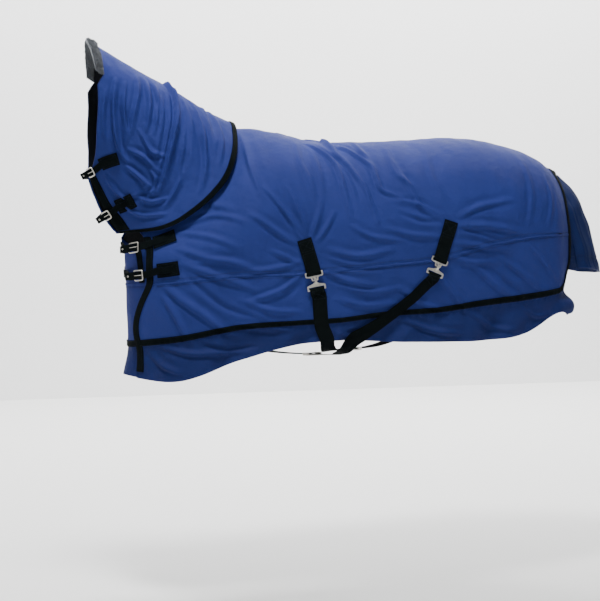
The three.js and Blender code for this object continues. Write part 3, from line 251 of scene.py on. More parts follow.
# ------------------------------------------------------------------ cloth relief
# strokes: (part, [(x, z) seen from the left side...]) are kept as (u, v) paths on the skin;
# each is (points, half width, height, kind) with a ridge or a valley across the path
STROKES = {"body": [
  (1, [[0.55, 8.22], [0.72, 9.05], [1.03, 9.61]], 0.0090, 0.0060, 0.2),
  (1, [[0.72, 8.08], [1.27, 8.79], [1.98, 9.38]], 0.0090, 0.0050, 0.2),
  (1, [[0.42, 8.31], [0.54, 9.23], [0.63, 9.9]], 0.0080, 0.0050, 0),
  (1, [[1.36, 8.24], [1.76, 9.07], [2.28, 9.33]], 0.0080, -0.0040, 0),
  (1, [[3.77, 9.04], [4.22, 9.62], [4.64, 9.79]], 0.0080, 0.0040, 0),
  (1, [[5.21, 8.18], [5.82, 9.21], [6.45, 9.57]], 0.0090, 0.0050, 0.2),
  (1, [[6.66, 8.22], [7.15, 9.25], [7.69, 9.67]], 0.0090, 0.0050, 0.2),
  (1, [[7.82, 8.11], [8.23, 9.14], [8.62, 9.62]], 0.0080, 0.0050, 0),
  (1, [[3.85, 0.0], [4.03, 0.0], [4.21, 0.0]], 0.0100, 0.0050, 0.2),
  (1, [[4.14, 0.24], [4.16, 1.05], [4.2, 1.8]], 0.0110, 0.0090, 0.2),
  (1, [[4.7, 0.63], [4.76, 1.61], [4.93, 2.63]], 0.0090, 0.0040, 0.2),
  (1, [[3.66, 1.54], [3.68, 2.53], [3.66, 3.53]], 0.0100, 0.0045, 0.2),
  (1, [[3.41, 1.21], [3.36, 2.15], [3.46, 3.03], [3.56, 3.83]], 0.0100, 0.0040, 0.1),
  (1, [[5.28, 2.22], [5.4, 3.08], [5.62, 4.13], [5.97, 4.64]], 0.0090, 0.0040, 0.2),
  (1, [[6.45, 5.16], [6.79, 5.45], [7.29, 5.91]], 0.0080, -0.0035, 0),
  (1, [[3.76, 5.7], [4.21, 5.97], [4.79, 6.08]], 0.0080, -0.0030, 0),
  (1, [[3.96, 6.57], [4.59, 6.97], [5.2, 6.95]], 0.0090, 0.0035, 0),
  (1, [[3.16, 5.62], [2.66, 5.78], [2.1, 5.89]], 0.0090, 0.0035, 0),
  (1, [[2.02, 7.79], [2.48, 8.04], [2.96, 8.34]], 0.0090, 0.0040, 0),
  (1, [[3.69, 1.08], [3.89, 1.58], [4.06, 2.28], [4.12, 3.33], [4.18, 4.22]], 0.0090, 0.0070, 0.3),
  (1, [[4.25, 0.92], [4.53, 1.64], [4.8, 2.37], [4.84, 2.96], [4.91, 3.45], [5.25, 3.77]], 0.0090, 0.0070, 0.3),
  (1, [[3.9, 1.3], [4.2, 2.03], [4.36, 2.88], [4.44, 3.81]], 0.0090, -0.0050, 0),
  (1, [[4.32, 2.15], [4.53, 3.11], [4.64, 3.88], [4.75, 4.55]], 0.0080, 0.0050, 0.2),
  (1, [[5.26, 1.58], [5.26, 2.79], [5.58, 3.51]], 0.0100, 0.0040, 0.2),
  (1, [[2.32, 3.27], [2.85, 4.08], [3.2, 4.88]], 0.0090, 0.0055, 0.3),
  (1, [[2.94, 3.08], [3.16, 3.99], [3.32, 4.76]], 0.0090, 0.0045, -0.2),
  (1, [[3.65, 3.6], [3.52, 4.26], [3.4, 4.8]], 0.0090, 0.0050, 0.2),
  (1, [[2.03, 4.1], [2.62, 4.61], [3.08, 5.03]], 0.0090, 0.0045, 0.2),
  (1, [[3.89, 4.02], [3.69, 4.6], [3.52, 4.97]], 0.0080, 0.0040, 0),
  (1, [[2.59, 3.67], [3.0, 4.43], [3.24, 4.88]], 0.0070, -0.0035, 0),
  (1, [[0.81, 6.03], [1.18, 6.74], [1.53, 7.43], [1.93, 8.3]], 0.0110, 0.0060, 0.3),
  (1, [[1.19, 5.38], [1.64, 5.93], [2.29, 6.55]], 0.0110, 0.0050, 0.2),
  (1, [[0.8, 6.3], [0.99, 7.1], [1.2, 8.13]], 0.0100, 0.0050, 0.2),
  (1, [[1.16, 4.22], [1.49, 4.54], [1.89, 5.04]], 0.0100, 0.0040, 0),
  (1, [[1.11, 4.78], [1.49, 5.25], [2.0, 5.59]], 0.0100, 0.0040, 0.2),
  (1, [[1.2, 5.67], [1.49, 6.45], [1.82, 7.13], [2.42, 7.68]], 0.0100, -0.0040, 0),
  (1, [[1.36, 5.37], [1.77, 5.51], [2.41, 5.9]], 0.0100, 0.0040, 0.2),
  (1, [[6.42, 4.74], [6.9, 4.58], [7.61, 4.54]], 0.0100, 0.0050, 0.2),
  (1, [[6.39, 5.07], [6.99, 5.32], [7.83, 5.82]], 0.0100, 0.0050, 0.3),
  (1, [[6.23, 5.99], [6.67, 6.42], [7.34, 6.65]], 0.0100, 0.0040, 0),
  (1, [[6.03, 4.53], [5.59, 4.08], [5.14, 3.82]], 0.0100, 0.0045, 0.2),
  (1, [[6.02, 5.25], [5.49, 5.1], [4.95, 4.78]], 0.0100, 0.0040, 0),
  (1, [[6.3, 5.56], [6.84, 5.95], [7.53, 6.32]], 0.0090, 0.0045, 0.2),
  (1, [[5.96, 4.77], [5.6, 4.63], [5.21, 4.33]], 0.0080, -0.0035, 0),
  (1, [[6.63, 6.43], [7.08, 7.17], [7.62, 7.82]], 0.0100, 0.0060, 0.3),
  (1, [[7.29, 6.45], [7.79, 7.07], [8.39, 7.7]], 0.0100, 0.0060, 0.3),
  (1, [[6.97, 6.54], [7.43, 7.25], [7.92, 7.78]], 0.0090, -0.0045, 0),
  (1, [[6.01, 6.72], [6.33, 7.43], [6.58, 8.13]], 0.0100, 0.0050, 0.2),
  (1, [[5.2, 6.95], [5.61, 7.48], [6.15, 7.99]], 0.0100, 0.0045, 0.2),
  (1, [[8.05, 6.31], [8.5, 6.88], [8.87, 7.49]], 0.0090, 0.0050, 0.2),
  (1, [[3.6, 5.87], [4.07, 6.39], [4.71, 6.76]], 0.0100, 0.0045, 0.2),
  (1, [[3.14, 6.08], [2.77, 6.58], [2.19, 6.97]], 0.0100, 0.0050, 0.2),
  (1, [[3.72, 5.31], [4.37, 5.59], [5.03, 5.51]], 0.0100, 0.0040, 0.2),
  (1, [[3.87, 7.05], [4.49, 7.43], [5.11, 7.49]], 0.0100, 0.0040, 0),
  (1, [[1.21, 0.64], [1.84, 2.25], [2.24, 3.53]], 0.0120, 0.0045, 0.2),
  (1, [[3.25, 0.0], [3.49, 0.0], [3.74, 0.0]], 0.0110, 0.0035, 0),
  (1, [[8.16, 2.43], [8.18, 3.98], [8.02, 5.58]], 0.0120, 0.0040, 0.2),
  (1, [[8.07, 0.0], [8.59, 0.0], [8.83, 0.0]], 0.0110, 0.0035, 0),
  (1, [[8.82, 2.82], [8.83, 3.85], [8.61, 5.1]], 0.0100, 0.0040, 0.2),
  (1, [[6.04, 1.84], [5.97, 3.1], [6.13, 3.9]], 0.0120, 0.0035, 0),
  (1, [[0.18, 1.52], [0.73, 2.17], [1.75, 3.81]], 0.0120, 0.0040, 0.2),
  (1, [[1.27, 3.88], [1.55, 3.84], [1.98, 4.31]], 0.0100, 0.0035, 0.1),
  (1, [[2.02, 6.9], [2.57, 7.33], [3.16, 7.46]], 0.0100, 0.0040, 0.1),
  (1, [[4.17, 4.55], [4.62, 4.99], [5.23, 5.22]], 0.0090, 0.0035, 0),
  (1, [[2.54, 5.23], [2.86, 5.41], [3.12, 5.61]], 0.0080, 0.0035, 0),
  (-1, [[0.63, 8.37], [0.81, 9.19], [1.11, 9.76]], 0.0110, 0.0065, -0.2),
  (-1, [[0.59, 8.57], [0.71, 9.48], [0.79, 10.15]], 0.0073, 0.0047, 0),
  (-1, [[4.08, 9.13], [4.53, 9.71], [4.95, 9.88]], 0.0101, 0.0033, 0),
  (-1, [[6.64, 8.06], [7.13, 9.1], [7.67, 9.52]], 0.0101, 0.0049, -0.2),
  (-1, [[3.51, 0.15], [3.69, 0.15], [3.87, 0.15]], 0.0101, 0.0054, -0.2),
  (-1, [[4.88, 0.42], [4.94, 1.41], [5.11, 2.43]], 0.0110, 0.0034, -0.2),
  (-1, [[3.49, 0.98], [3.44, 1.93], [3.54, 2.8], [3.64, 3.61]], 0.0090, 0.0042, -0.1),
  (-1, [[6.25, 4.99], [6.59, 5.28], [7.08, 5.74]], 0.0103, -0.0037, 0),
  (-1, [[3.82, 6.84], [4.44, 7.25], [5.05, 7.22]], 0.0100, 0.0035, 0),
  (-1, [[1.81, 8.06], [2.27, 8.31], [2.75, 8.6]], 0.0106, 0.0044, 0),
  (-1, [[4.53, 0.8], [4.81, 1.52], [5.07, 2.25], [5.12, 2.84], [5.19, 3.33], [5.53, 3.65]], 0.0094, 0.0059, -0.3),
  (-1, [[4.07, 1.88], [4.28, 2.85], [4.4, 3.62], [4.51, 4.29]], 0.0082, 0.0049, -0.2),
  (-1, [[1.97, 3.38], [2.5, 4.19], [2.85, 4.99]], 0.0093, 0.0049, -0.3),
  (-1, [[3.88, 3.58], [3.74, 4.25], [3.63, 4.79]], 0.0092, 0.0047, -0.2),
  (-1, [[4.03, 3.75], [3.83, 4.33], [3.66, 4.71]], 0.0103, 0.0032, 0),
  (-1, [[0.98, 6.24], [1.35, 6.95], [1.71, 7.64], [2.1, 8.5]], 0.0100, 0.0062, -0.3),
  (-1, [[0.7, 6.35], [0.9, 7.14], [1.1, 8.18]], 0.0090, 0.0041, -0.2),
  (-1, [[0.88, 5.05], [1.27, 5.52], [1.78, 5.86]], 0.0098, 0.0041, -0.2),
  (-1, [[1.66, 5.63], [2.07, 5.78], [2.71, 6.17]], 0.0104, 0.0036, -0.2),
  (-1, [[6.41, 5.23], [7.01, 5.48], [7.84, 5.98]], 0.0094, 0.0051, -0.3),
  (-1, [[6.24, 4.74], [5.79, 4.3], [5.35, 4.04]], 0.0091, 0.0049, -0.2),
  (-1, [[6.02, 5.46], [6.55, 5.85], [7.24, 6.22]], 0.0103, 0.0048, -0.2),
  (-1, [[6.51, 6.69], [6.97, 7.42], [7.5, 8.07]], 0.0112, 0.0054, -0.3),
  (-1, [[6.85, 6.35], [7.3, 7.05], [7.79, 7.58]], 0.0084, -0.0038, 0),
  (-1, [[5.33, 7.25], [5.74, 7.78], [6.28, 8.29]], 0.0096, 0.0037, -0.2),
  (-1, [[3.94, 5.89], [4.41, 6.41], [5.05, 6.79]], 0.0106, 0.0039, -0.2),
  (-1, [[3.78, 5.51], [4.44, 5.79], [5.09, 5.71]], 0.0108, 0.0037, -0.2),
  (-1, [[0.9, 0.89], [1.53, 2.5], [1.93, 3.78]], 0.0110, 0.0043, -0.2),
  (-1, [[8.4, 2.21], [8.42, 3.76], [8.26, 5.36]], 0.0143, 0.0043, -0.2),
  (-1, [[8.91, 3.0], [8.92, 4.03], [8.7, 5.28]], 0.0094, 0.0037, -0.2),
  (-1, [[1.88, 6.87], [2.43, 7.3], [3.01, 7.43]], 0.0130, 0.0042, -0.1),
  (-1, [[2.88, 5.2], [3.19, 5.38], [3.45, 5.59]], 0.0088, 0.0036, 0),
], "neck": [
  (1, [[2.83, 0.2], [2.94, 0.79], [3.03, 1.62], [3.11, 2.28]], 0.0090, 0.0090, 0.4),
  (1, [[3.09, 0.63], [3.22, 1.22], [3.32, 1.88]], 0.0080, -0.0060, 0),
  (1, [[3.53, 0.61], [3.67, 1.29], [3.86, 1.9], [4.04, 2.5]], 0.0100, 0.0060, 0.3),
  (1, [[4.08, 0.18], [4.15, 1.14], [4.25, 1.92]], 0.0090, -0.0040, 0),
  (1, [[1.66, 1.17], [1.73, 1.84], [1.7, 2.77], [1.75, 3.59]], 0.0100, 0.0045, 0.2),
  (1, [[2.2, 1.25], [2.38, 1.8], [2.6, 2.39]], 0.0100, -0.0040, 0),
  (1, [[3.59, 4.6], [3.3, 4.59], [2.98, 4.49]], 0.0070, 0.0050, 0),
  (1, [[0.82, 3.5], [1.36, 4.17], [2.17, 4.45]], 0.0080, 0.0050, 0.2),
  (1, [[1.39, 5.37], [2.45, 5.35], [3.37, 5.24]], 0.0080, 0.0040, 0),
  (1, [[0.83, 2.02], [0.8, 2.99], [1.04, 3.76], [1.42, 4.39]], 0.0090, 0.0060, 0.2),
  (1, [[1.24, 1.88], [1.31, 2.92], [1.73, 3.78]], 0.0080, 0.0050, -0.2),
  (1, [[0.36, 2.71], [0.3, 3.51], [0.51, 4.32]], 0.0080, 0.0040, 0),
  (1, [[2.98, 0.56], [3.04, 1.79], [3.13, 2.82], [3.32, 3.64], [3.63, 4.44]], 0.0120, 0.0100, 0.5),
  (1, [[2.64, 1.34], [2.78, 2.26], [2.9, 3.0], [3.08, 3.71]], 0.0090, -0.0040, 0),
  (1, [[1.96, 4.02], [2.63, 3.88], [3.25, 3.97]], 0.0080, 0.0060, 0.2),
  (1, [[2.12, 4.53], [2.93, 4.44], [3.56, 4.53]], 0.0080, 0.0060, 0.2),
  (1, [[3.25, 4.95], [3.76, 4.85], [4.01, 4.48]], 0.0080, 0.0050, 0.1),
  (1, [[2.03, 3.24], [2.66, 3.56], [3.13, 3.44]], 0.0080, 0.0050, 0.2),
  (1, [[3.48, 1.0], [3.77, 1.9], [4.22, 2.95], [4.56, 3.65]], 0.0110, 0.0050, 0.2),
  (1, [[1.99, 1.08], [2.17, 2.18], [2.27, 3.08]], 0.0090, 0.0050, 0.1),
  (1, [[2.34, 1.1], [2.47, 2.08], [2.55, 2.96]], 0.0080, 0.0040, 0),
  (1, [[3.71, 3.54], [3.98, 4.06], [4.19, 4.64]], 0.0100, 0.0050, 0.2),
  (1, [[3.33, 5.48], [4.09, 5.31], [4.48, 4.79]], 0.0080, 0.0040, 0),
  (1, [[1.81, 4.48], [2.59, 4.37], [3.28, 4.4]], 0.0070, -0.0030, 0),
  (1, [[4.3, 0.69], [4.48, 1.75], [4.58, 2.58]], 0.0090, 0.0040, 0),
  (1, [[3.26, 0.76], [3.4, 2.03], [3.63, 3.02], [3.85, 3.83]], 0.0100, -0.0035, 0),
  (1, [[2.86, 3.99], [3.3, 4.18], [3.52, 4.52]], 0.0080, 0.0050, 0.1),
  (1, [[3.29, 5.19], [3.41, 4.69], [3.45, 4.23]], 0.0080, -0.0030, 0),
  (-1, [[2.82, 0.15], [2.92, 0.65], [3.01, 1.81], [3.2, 2.33]], 0.0090, 0.0090, -0.4),
  (-1, [[3.53, 0.54], [3.59, 1.2], [3.92, 2.05], [4.01, 2.62]], 0.0100, 0.0060, -0.3),
  (-1, [[1.72, 1.25], [1.76, 1.94], [1.67, 2.85], [1.71, 3.58]], 0.0100, 0.0045, -0.2),
  (-1, [[3.65, 4.67], [3.26, 4.77], [3.01, 4.52]], 0.0070, 0.0050, 0),
  (-1, [[1.29, 5.39], [2.4, 5.42], [3.36, 5.37]], 0.0080, 0.0040, 0),
  (-1, [[1.27, 2.0], [1.28, 2.97], [1.78, 3.92]], 0.0080, 0.0050, 0.2),
  (-1, [[2.95, 0.69], [3.12, 1.86], [3.23, 3.01], [3.32, 3.66], [3.56, 4.57]], 0.0120, 0.0100, -0.5),
  (-1, [[2.05, 4.01], [2.67, 3.96], [3.3, 3.84]], 0.0080, 0.0060, -0.2),
  (-1, [[3.31, 4.98], [3.79, 4.82], [4.03, 4.59]], 0.0080, 0.0050, -0.1),
  (-1, [[3.5, 1.09], [3.68, 1.76], [4.2, 3.01], [4.51, 3.72]], 0.0110, 0.0050, -0.2),
  (-1, [[2.37, 0.92], [2.47, 1.97], [2.46, 2.81]], 0.0080, 0.0040, 0),
  (-1, [[3.29, 5.35], [4.03, 5.12], [4.48, 4.74]], 0.0080, 0.0040, 0),
  (-1, [[4.32, 0.73], [4.43, 1.91], [4.48, 2.54]], 0.0090, 0.0040, 0),
  (-1, [[2.81, 3.95], [3.22, 4.32], [3.49, 4.34]], 0.0080, 0.0050, -0.1),
]}

def _hash(i):
    x = math.sin(i * 127.1 + 311.7) * 43758.5453
    return x - math.floor(x)

def waves(P, seed, scale, n=10):
    """smooth seeded undulation of about unit height"""
    out = 0
    for i in range(n):
        a = _hash(seed + i * 3.1) * math.tau; b = (_hash(seed + i * 5.7) - 0.5) * 2.0
        d = np.array([math.cos(a), 0.55 * b, math.sin(a)]); d = d / np.linalg.norm(d)
        f = math.tau / (scale * (0.6 + 0.9 * _hash(seed + i * 7.3)))
        out = out + np.sin(P @ d * f + _hash(seed + i * 11.9) * math.tau)
    return out / math.sqrt(n)

def resample(pts, n):
    pts = np.asarray(pts, float)
    # Catmull-Rom through the points
    q = np.vstack([2 * pts[0] - pts[1], pts, 2 * pts[-1] - pts[-2]])
    t = np.linspace(0, len(pts) - 1, n); i = np.minimum(t.astype(int), len(pts) - 2); f = (t - i)[:, None]
    a, b, c, d = q[i], q[i + 1], q[i + 2], q[i + 3]
    return 0.5 * (2 * b + (-a + c) * f + (2 * a - 5 * b + 4 * c - d) * f ** 2 + (-a + 3 * b - 3 * c + d) * f ** 3)

_cache = {}
GAIN = 1.85
def stroke_curves(name):
    if name not in _cache:
        out = []
        G = GN if name == "neck" else GB
        for side, pts, hw, amp, asym in STROKES[name]:
            hw = hw * (0.80 if name == "neck" else 0.9)
            uv = resample(pts, 28)
            c, n = base(G, side, uv[:, 0], uv[:, 1])
            out.append((c, unit(np.gradient(c, axis=0)), n, hw, amp, asym, pts[0][1] < 0.45))
        _cache[name] = out
    return _cache[name]

def strokes(P, name):
    flat = P.reshape(-1, 3); D = np.zeros(len(flat))
    for c, t, n, hw, amp, asym, top in stroke_curves(name):
        lo, hi = c.min(0) - 3.2 * hw, c.max(0) + 3.2 * hw
        k = np.where(((flat > lo) & (flat < hi)).all(1))[0]
        if not len(k): continue
        q = flat[k]
        d = q[:, None, :] - c[None]
        d2 = (d ** 2).sum(2); m = d2.argmin(1)
        dv = d[np.arange(len(k)), m]
        across = np.cross(n[m], t[m])
        along = (dv * t[m]).sum(1)
        s = (dv * across).sum(1)
        r = np.sqrt(np.maximum(d2[np.arange(len(k)), m], 0))
        x = m / (len(c) - 1)
        # beyond the ends
        end = np.where((m == 0) | (m == len(c) - 1), np.exp(-(along / (1.2 * hw)) ** 2), 1.0)
        lo_ = 0.5 if top else 0.06
        taper = np.sin(np.pi * np.clip(lo_ + (0.94 - lo_) * x, 0, 1)) ** 0.8 * end
        sg = np.where(s > 0, 1 + asym, 1 - asym)
        y = s / (hw * np.maximum(sg, 0.25))
        prof = np.exp(-0.5 * y ** 2 * 2.0) - 0.42 * np.exp(-0.5 * ((np.abs(y) - 1.9) / 0.75) ** 2)
        prof = np.where(r < 4 * hw, prof, 0)
        D[k] += (GAIN if name == "neck" else 1.5 - 0.45 * smooth(c[0, 0], 0.25, 0.6)) * amp * taper * prof
    return D.reshape(P.shape[:-1])

_held = {}
def under_straps(P, side, d):
    """the cloth lies down under the surcingles, their hooks and the chest straps"""
    if not _held:
        pts = []
        for path in ([[3.395, 5.75], [3.455, 6.30], [3.54, 6.95], [3.59, 8.1], [3.70, 9.9]], [[6.05, 5.74], [5.93, 6.26], [5.70, 6.90], [5.47, 7.30], [5.18, 7.70], [4.86, 8.22], [4.50, 9.20], [4.27, 9.85]]):
            q = resample(path, 40); pts.append(base(GB, 1, q[:, 0], q[:, 1])[0])
        _held["c"] = np.concatenate(pts)
        _held["b"] = base(GB, 1, np.array([0.481, 0.501, 0.25, 0.25]), np.array([4.694, 5.689, 4.66, 5.67]))[0]
    flat = P.reshape(-1, 3); out = d.reshape(-1).copy(); sd = np.broadcast_to(side, d.shape).reshape(-1)
    for pts, r0, r1, top in ((_held["c"], 0.030, 0.062, 0.0032), (_held["b"], 0.040, 0.075, 0.0020)):
        lo, hi = pts.min(0) - r1, pts.max(0) + r1
        k = np.where(((flat > lo) & (flat < hi)).all(1) & (out > top) & (sd > 0))[0]
        if not len(k): continue
        m = np.sqrt(((flat[k][:, None] - pts[None]) ** 2).sum(2).min(1))
        w = 1 - smooth(m, r0, r1)
        out[k] = out[k] * (1 - w) + np.minimum(out[k], top) * w
    return out.reshape(d.shape)

def relief_body(side, u, v, P):
    side = np.broadcast_to(side, u.shape)
    L = np.where(side > 0, 1.0, 0.0)
    D = strokes(P, "body")
    quiet = smooth(v, 0.0, 1.2)
    D = D + 0.0022 * waves(P, 3.0, 0.26) * (0.35 + 0.65 * quiet)
    D = D + 0.0009 * waves(P * np.array([1.0, 1.0, 0.55]), 17.0, 0.085)
    # puckers where the side seam and hem binding are sewn
    for row, amp in ((SEAM, 0.0003), (HEM, 0.0012)):
        w = np.exp(-((v - row) / 0.20) ** 2)
        D = D + amp * w * np.sin(P[..., 0] * 330 + 2.2 * waves(P, 31.0 + row, 0.12))
        D = D - 0.0006 * np.exp(-((v - row) / 0.035) ** 2)
    # skirt hangs in soft folds under the hem binding
    k = smooth(v, 8.0, 9.6)
    D = D + k * (0.0085 * np.sin(P[..., 0] * 21 + 1.5 * np.sin(P[..., 0] * 7.1 + 1.0) + 3 * (v - 8) * 0.25) + 0.0045 * np.sin(P[..., 0] * 47 + 2.0 + (v - 8) * 1.1))
    # the rear corner of the skirt stands out in a lobe
    k = smooth(u, 9.15, 9.85) * smooth(v, 8.05, 9.2)
    D = D + k * (0.0095 + 0.004 * np.sin(v * 2.1 + 0.6))
    # rear of the side: the cloth gathers towards the rear corner
    k = smooth(u, 8.6, 9.8) * smooth(v, 6.3, 9.0)
    D = D + 0.004 * k * np.sin(P[..., 2] * 62 + P[..., 0] * 22)
    # right side, which is out of sight from the head's left: its own pulls
    D = D + (1 - L) * 0.003 * smooth(v, 1.0, 3.0) * waves(P * np.array([1.0, 1.0, 0.6]), 57.0, 0.34)
    return D

def relief_neck(side, u, v, P):
    D = strokes(P, "neck")
    q = smooth(v, 0.0, 0.8)
    D = D + 0.0016 * waves(P, 73.0, 0.16) * (0.3 + 0.7 * q)
    D = D + 0.0007 * waves(P, 91.0, 0.06)
    D = D * (1 - 0.75 * np.exp(-((u - 5.0) / 0.16) ** 2))
    return D

def skin(part, side, u, v, off=0.0, relief=True):
    u, v, side = np.broadcast_arrays(np.asarray(u, float), np.asarray(v, float), np.asarray(side, float))
    G = GN if part == "neck" else GB
    p, n = base(G, side, u, v)
    if part == "neck":
        d = relief_neck(side, u, v, p) if relief else 0.0
        d = np.clip(d, -0.006, 0.019) if relief else 0.0
    else:
        d = relief_body(side, u, v, p) if relief else 0.0
        if relief:
            # under the neck cover and between the chest flaps the cloth lies flat
            calm = 1 - smooth(u, 0.1, 1.2)
            d = d * (1 - 0.85 * calm * (1 - smooth(v, 4.4, 6.0)))
            e_ = np.where(side > 0, left_edge(v), 99.0)
            d = d * (1 - 0.8 * (1 - smooth(u - e_, 0.10, 0.45)) * (v > 4.3) * (u > e_ - 0.05))
            d = np.clip(d, -0.015, np.where(v > 8, 0.030, 0.021))
            d = under_straps(p, side, d)
        d = d + drop(side, u, v)
    return p + n * (np.asarray(d) + off)[..., None], n

# ------------------------------------------------------------------ mesh makers
def new_mesh(name, verts, faces, mat, uvs=None, shade=True):
    me = bpy.data.meshes.new(name)
    me.from_pydata([tuple(map(float, p)) for p in verts], [], [tuple(f) for f in faces])
    me.validate(); me.update()
    if uvs is not None:
        at = me.attributes.new("wv", "FLOAT_VECTOR", "POINT")
        at.data.foreach_set("vector", np.concatenate([np.asarray(uvs, np.float32), np.zeros((len(verts), 1), np.float32)], 1).ravel())
        lay = me.uv_layers.new(name="uv")
        li = np.zeros(len(me.loops), np.int32); me.loops.foreach_get("vertex_index", li)
        lay.data.foreach_set("uv", np.asarray(uvs, np.float32)[li].ravel())
    ob = bpy.data.objects.new(name, me)
    bpy.context.scene.collection.objects.link(ob)
    me.materials.append(mat)
    if shade:
        me.polygons.foreach_set("use_smooth", [True] * len(me.polygons))
    return ob

def grid_uv(P):
    a = np.zeros(P.shape[:2]); b = np.zeros(P.shape[:2])
    a[1:] = np.cumsum(np.linalg.norm(np.diff(P, axis=0), axis=2), 0)
    b[:, 1:] = np.cumsum(np.linalg.norm(np.diff(P, axis=1), axis=2), 1)
    return np.stack([a, b], -1)

def shell(name, outer, inner, mat, uv=None, round_edges=True):
    """closed sheet from two equal grids of points"""
    n, m = outer.shape[:2]
    if uv is None: uv = grid_uv(outer)
    idx = np.arange(n * m).reshape(n, m)
    q = lambda A: np.stack([A[:-1, :-1], A[:-1, 1:], A[1:, 1:], A[1:, :-1]], -1).reshape(-1, 4)
    fo = q(idx); fi = q(idx + n * m)[:, ::-1]
    N = n * m
    ring = np.concatenate([idx[0, :], idx[1:, -1], idx[-1, -2::-1], idx[-2:0:-1, 0]])
    nx = np.roll(ring, -1)
    verts = np.concatenate([outer.reshape(-1, 3), inner.reshape(-1, 3)])
    uvs = np.concatenate([uv.reshape(-1, 2), uv.reshape(-1, 2)])
    if round_edges:
        mid = 0.5 * (verts[ring] + verts[ring + N])
        nb = outer.reshape(-1, 3)
        # push the rim's middle line outwards a little, so the edge reads as folded cloth
        t = verts[nx] - verts[np.roll(ring, 1)]; nn = verts[ring] - verts[ring + N]
        o = unit(np.cross(t, nn)); th = np.linalg.norm(nn, axis=1, keepdims=True)
        cen = verts[:N].mean(0)
        mid = mid + o * 0.35 * th
        k = np.arange(len(ring)) + 2 * N
        kn = np.roll(k, -1)
        verts = np.concatenate([verts, mid]); uvs = np.concatenate([uvs, uv.reshape(-1, 2)[ring]])
        side = np.concatenate([np.stack([ring, k, kn, nx], 1)[:, ::-1], np.stack([k, ring + N, nx + N, kn], 1)[:, ::-1]])
    else:
        side = np.stack([ring, ring + N, nx + N, nx], 1)[:, ::-1]
    faces = np.concatenate([fo, fi, side])
    # face outwards
    v = verts; a, b, c, d = (v[faces[:, i]] for i in range(4))
    vol = (np.cross(a, b) * c).sum() + (np.cross(a, c) * d).sum()
    if vol < 0: faces = faces[:, ::-1]
    return new_mesh(name, verts, faces.tolist(), mat, uvs)

def refine(rows, step):
    out = [rows[0]]
    for a, b in zip(rows[:-1], rows[1:]):
        k = max(1, int(round(abs(b - a) / step)))
        out += [a + (b - a) * i / k for i in range(1, k + 1)]
    return np.array(out)

WORLD, KEY, FILL, RIM, WALL = 0.21, 315, 30, 18, 640
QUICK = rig.quick()
STEP_U = 0.055 if not QUICK else 0.11
STEP_V = 0.085 if not QUICK else 0.17
PIECES = {}
def done(ob, body, slot, *nodes):
    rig.ride(ob, body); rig.slot(ob, slot)
    if nodes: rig.replaces(ob, *nodes)
    PIECES[ob.name] = ob
    return ob

# ------------------------------------------------------------------ materials
def nodes_of(mat):
    mat.use_nodes = True
    nt = mat.node_tree
    return nt, nt.nodes, nt.links, nt.nodes["Principled BSDF"]

def N(nodes, kind, **kw):
    n = nodes.new(kind)
    for k, v in kw.items(): setattr(n, k, v)
    return n

def math_node(nt, op, a, b=None, c=None):
    n = nt.nodes.new("ShaderNodeMath"); n.operation = op
    for i, x in enumerate((a, b, c)):
        if x is None: continue
        if isinstance(x, (int, float)): n.inputs[i].default_value = x
        else: nt.links.new(x, n.inputs[i])
    return n.outputs[0]

def mixc(nt, fac, a, b, blend="MIX"):
    n = nt.nodes.new("ShaderNodeMix"); n.data_type = "RGBA"; n.blend_type = blend
    for s, x in ((n.inputs[0], fac), (n.inputs[6], a), (n.inputs[7], b)):
        if isinstance(x, (int, float)): s.default_value = x
        elif isinstance(x, tuple): s.default_value = (*x, 1.0)
        else: nt.links.new(x, s)
    return n.outputs[2]

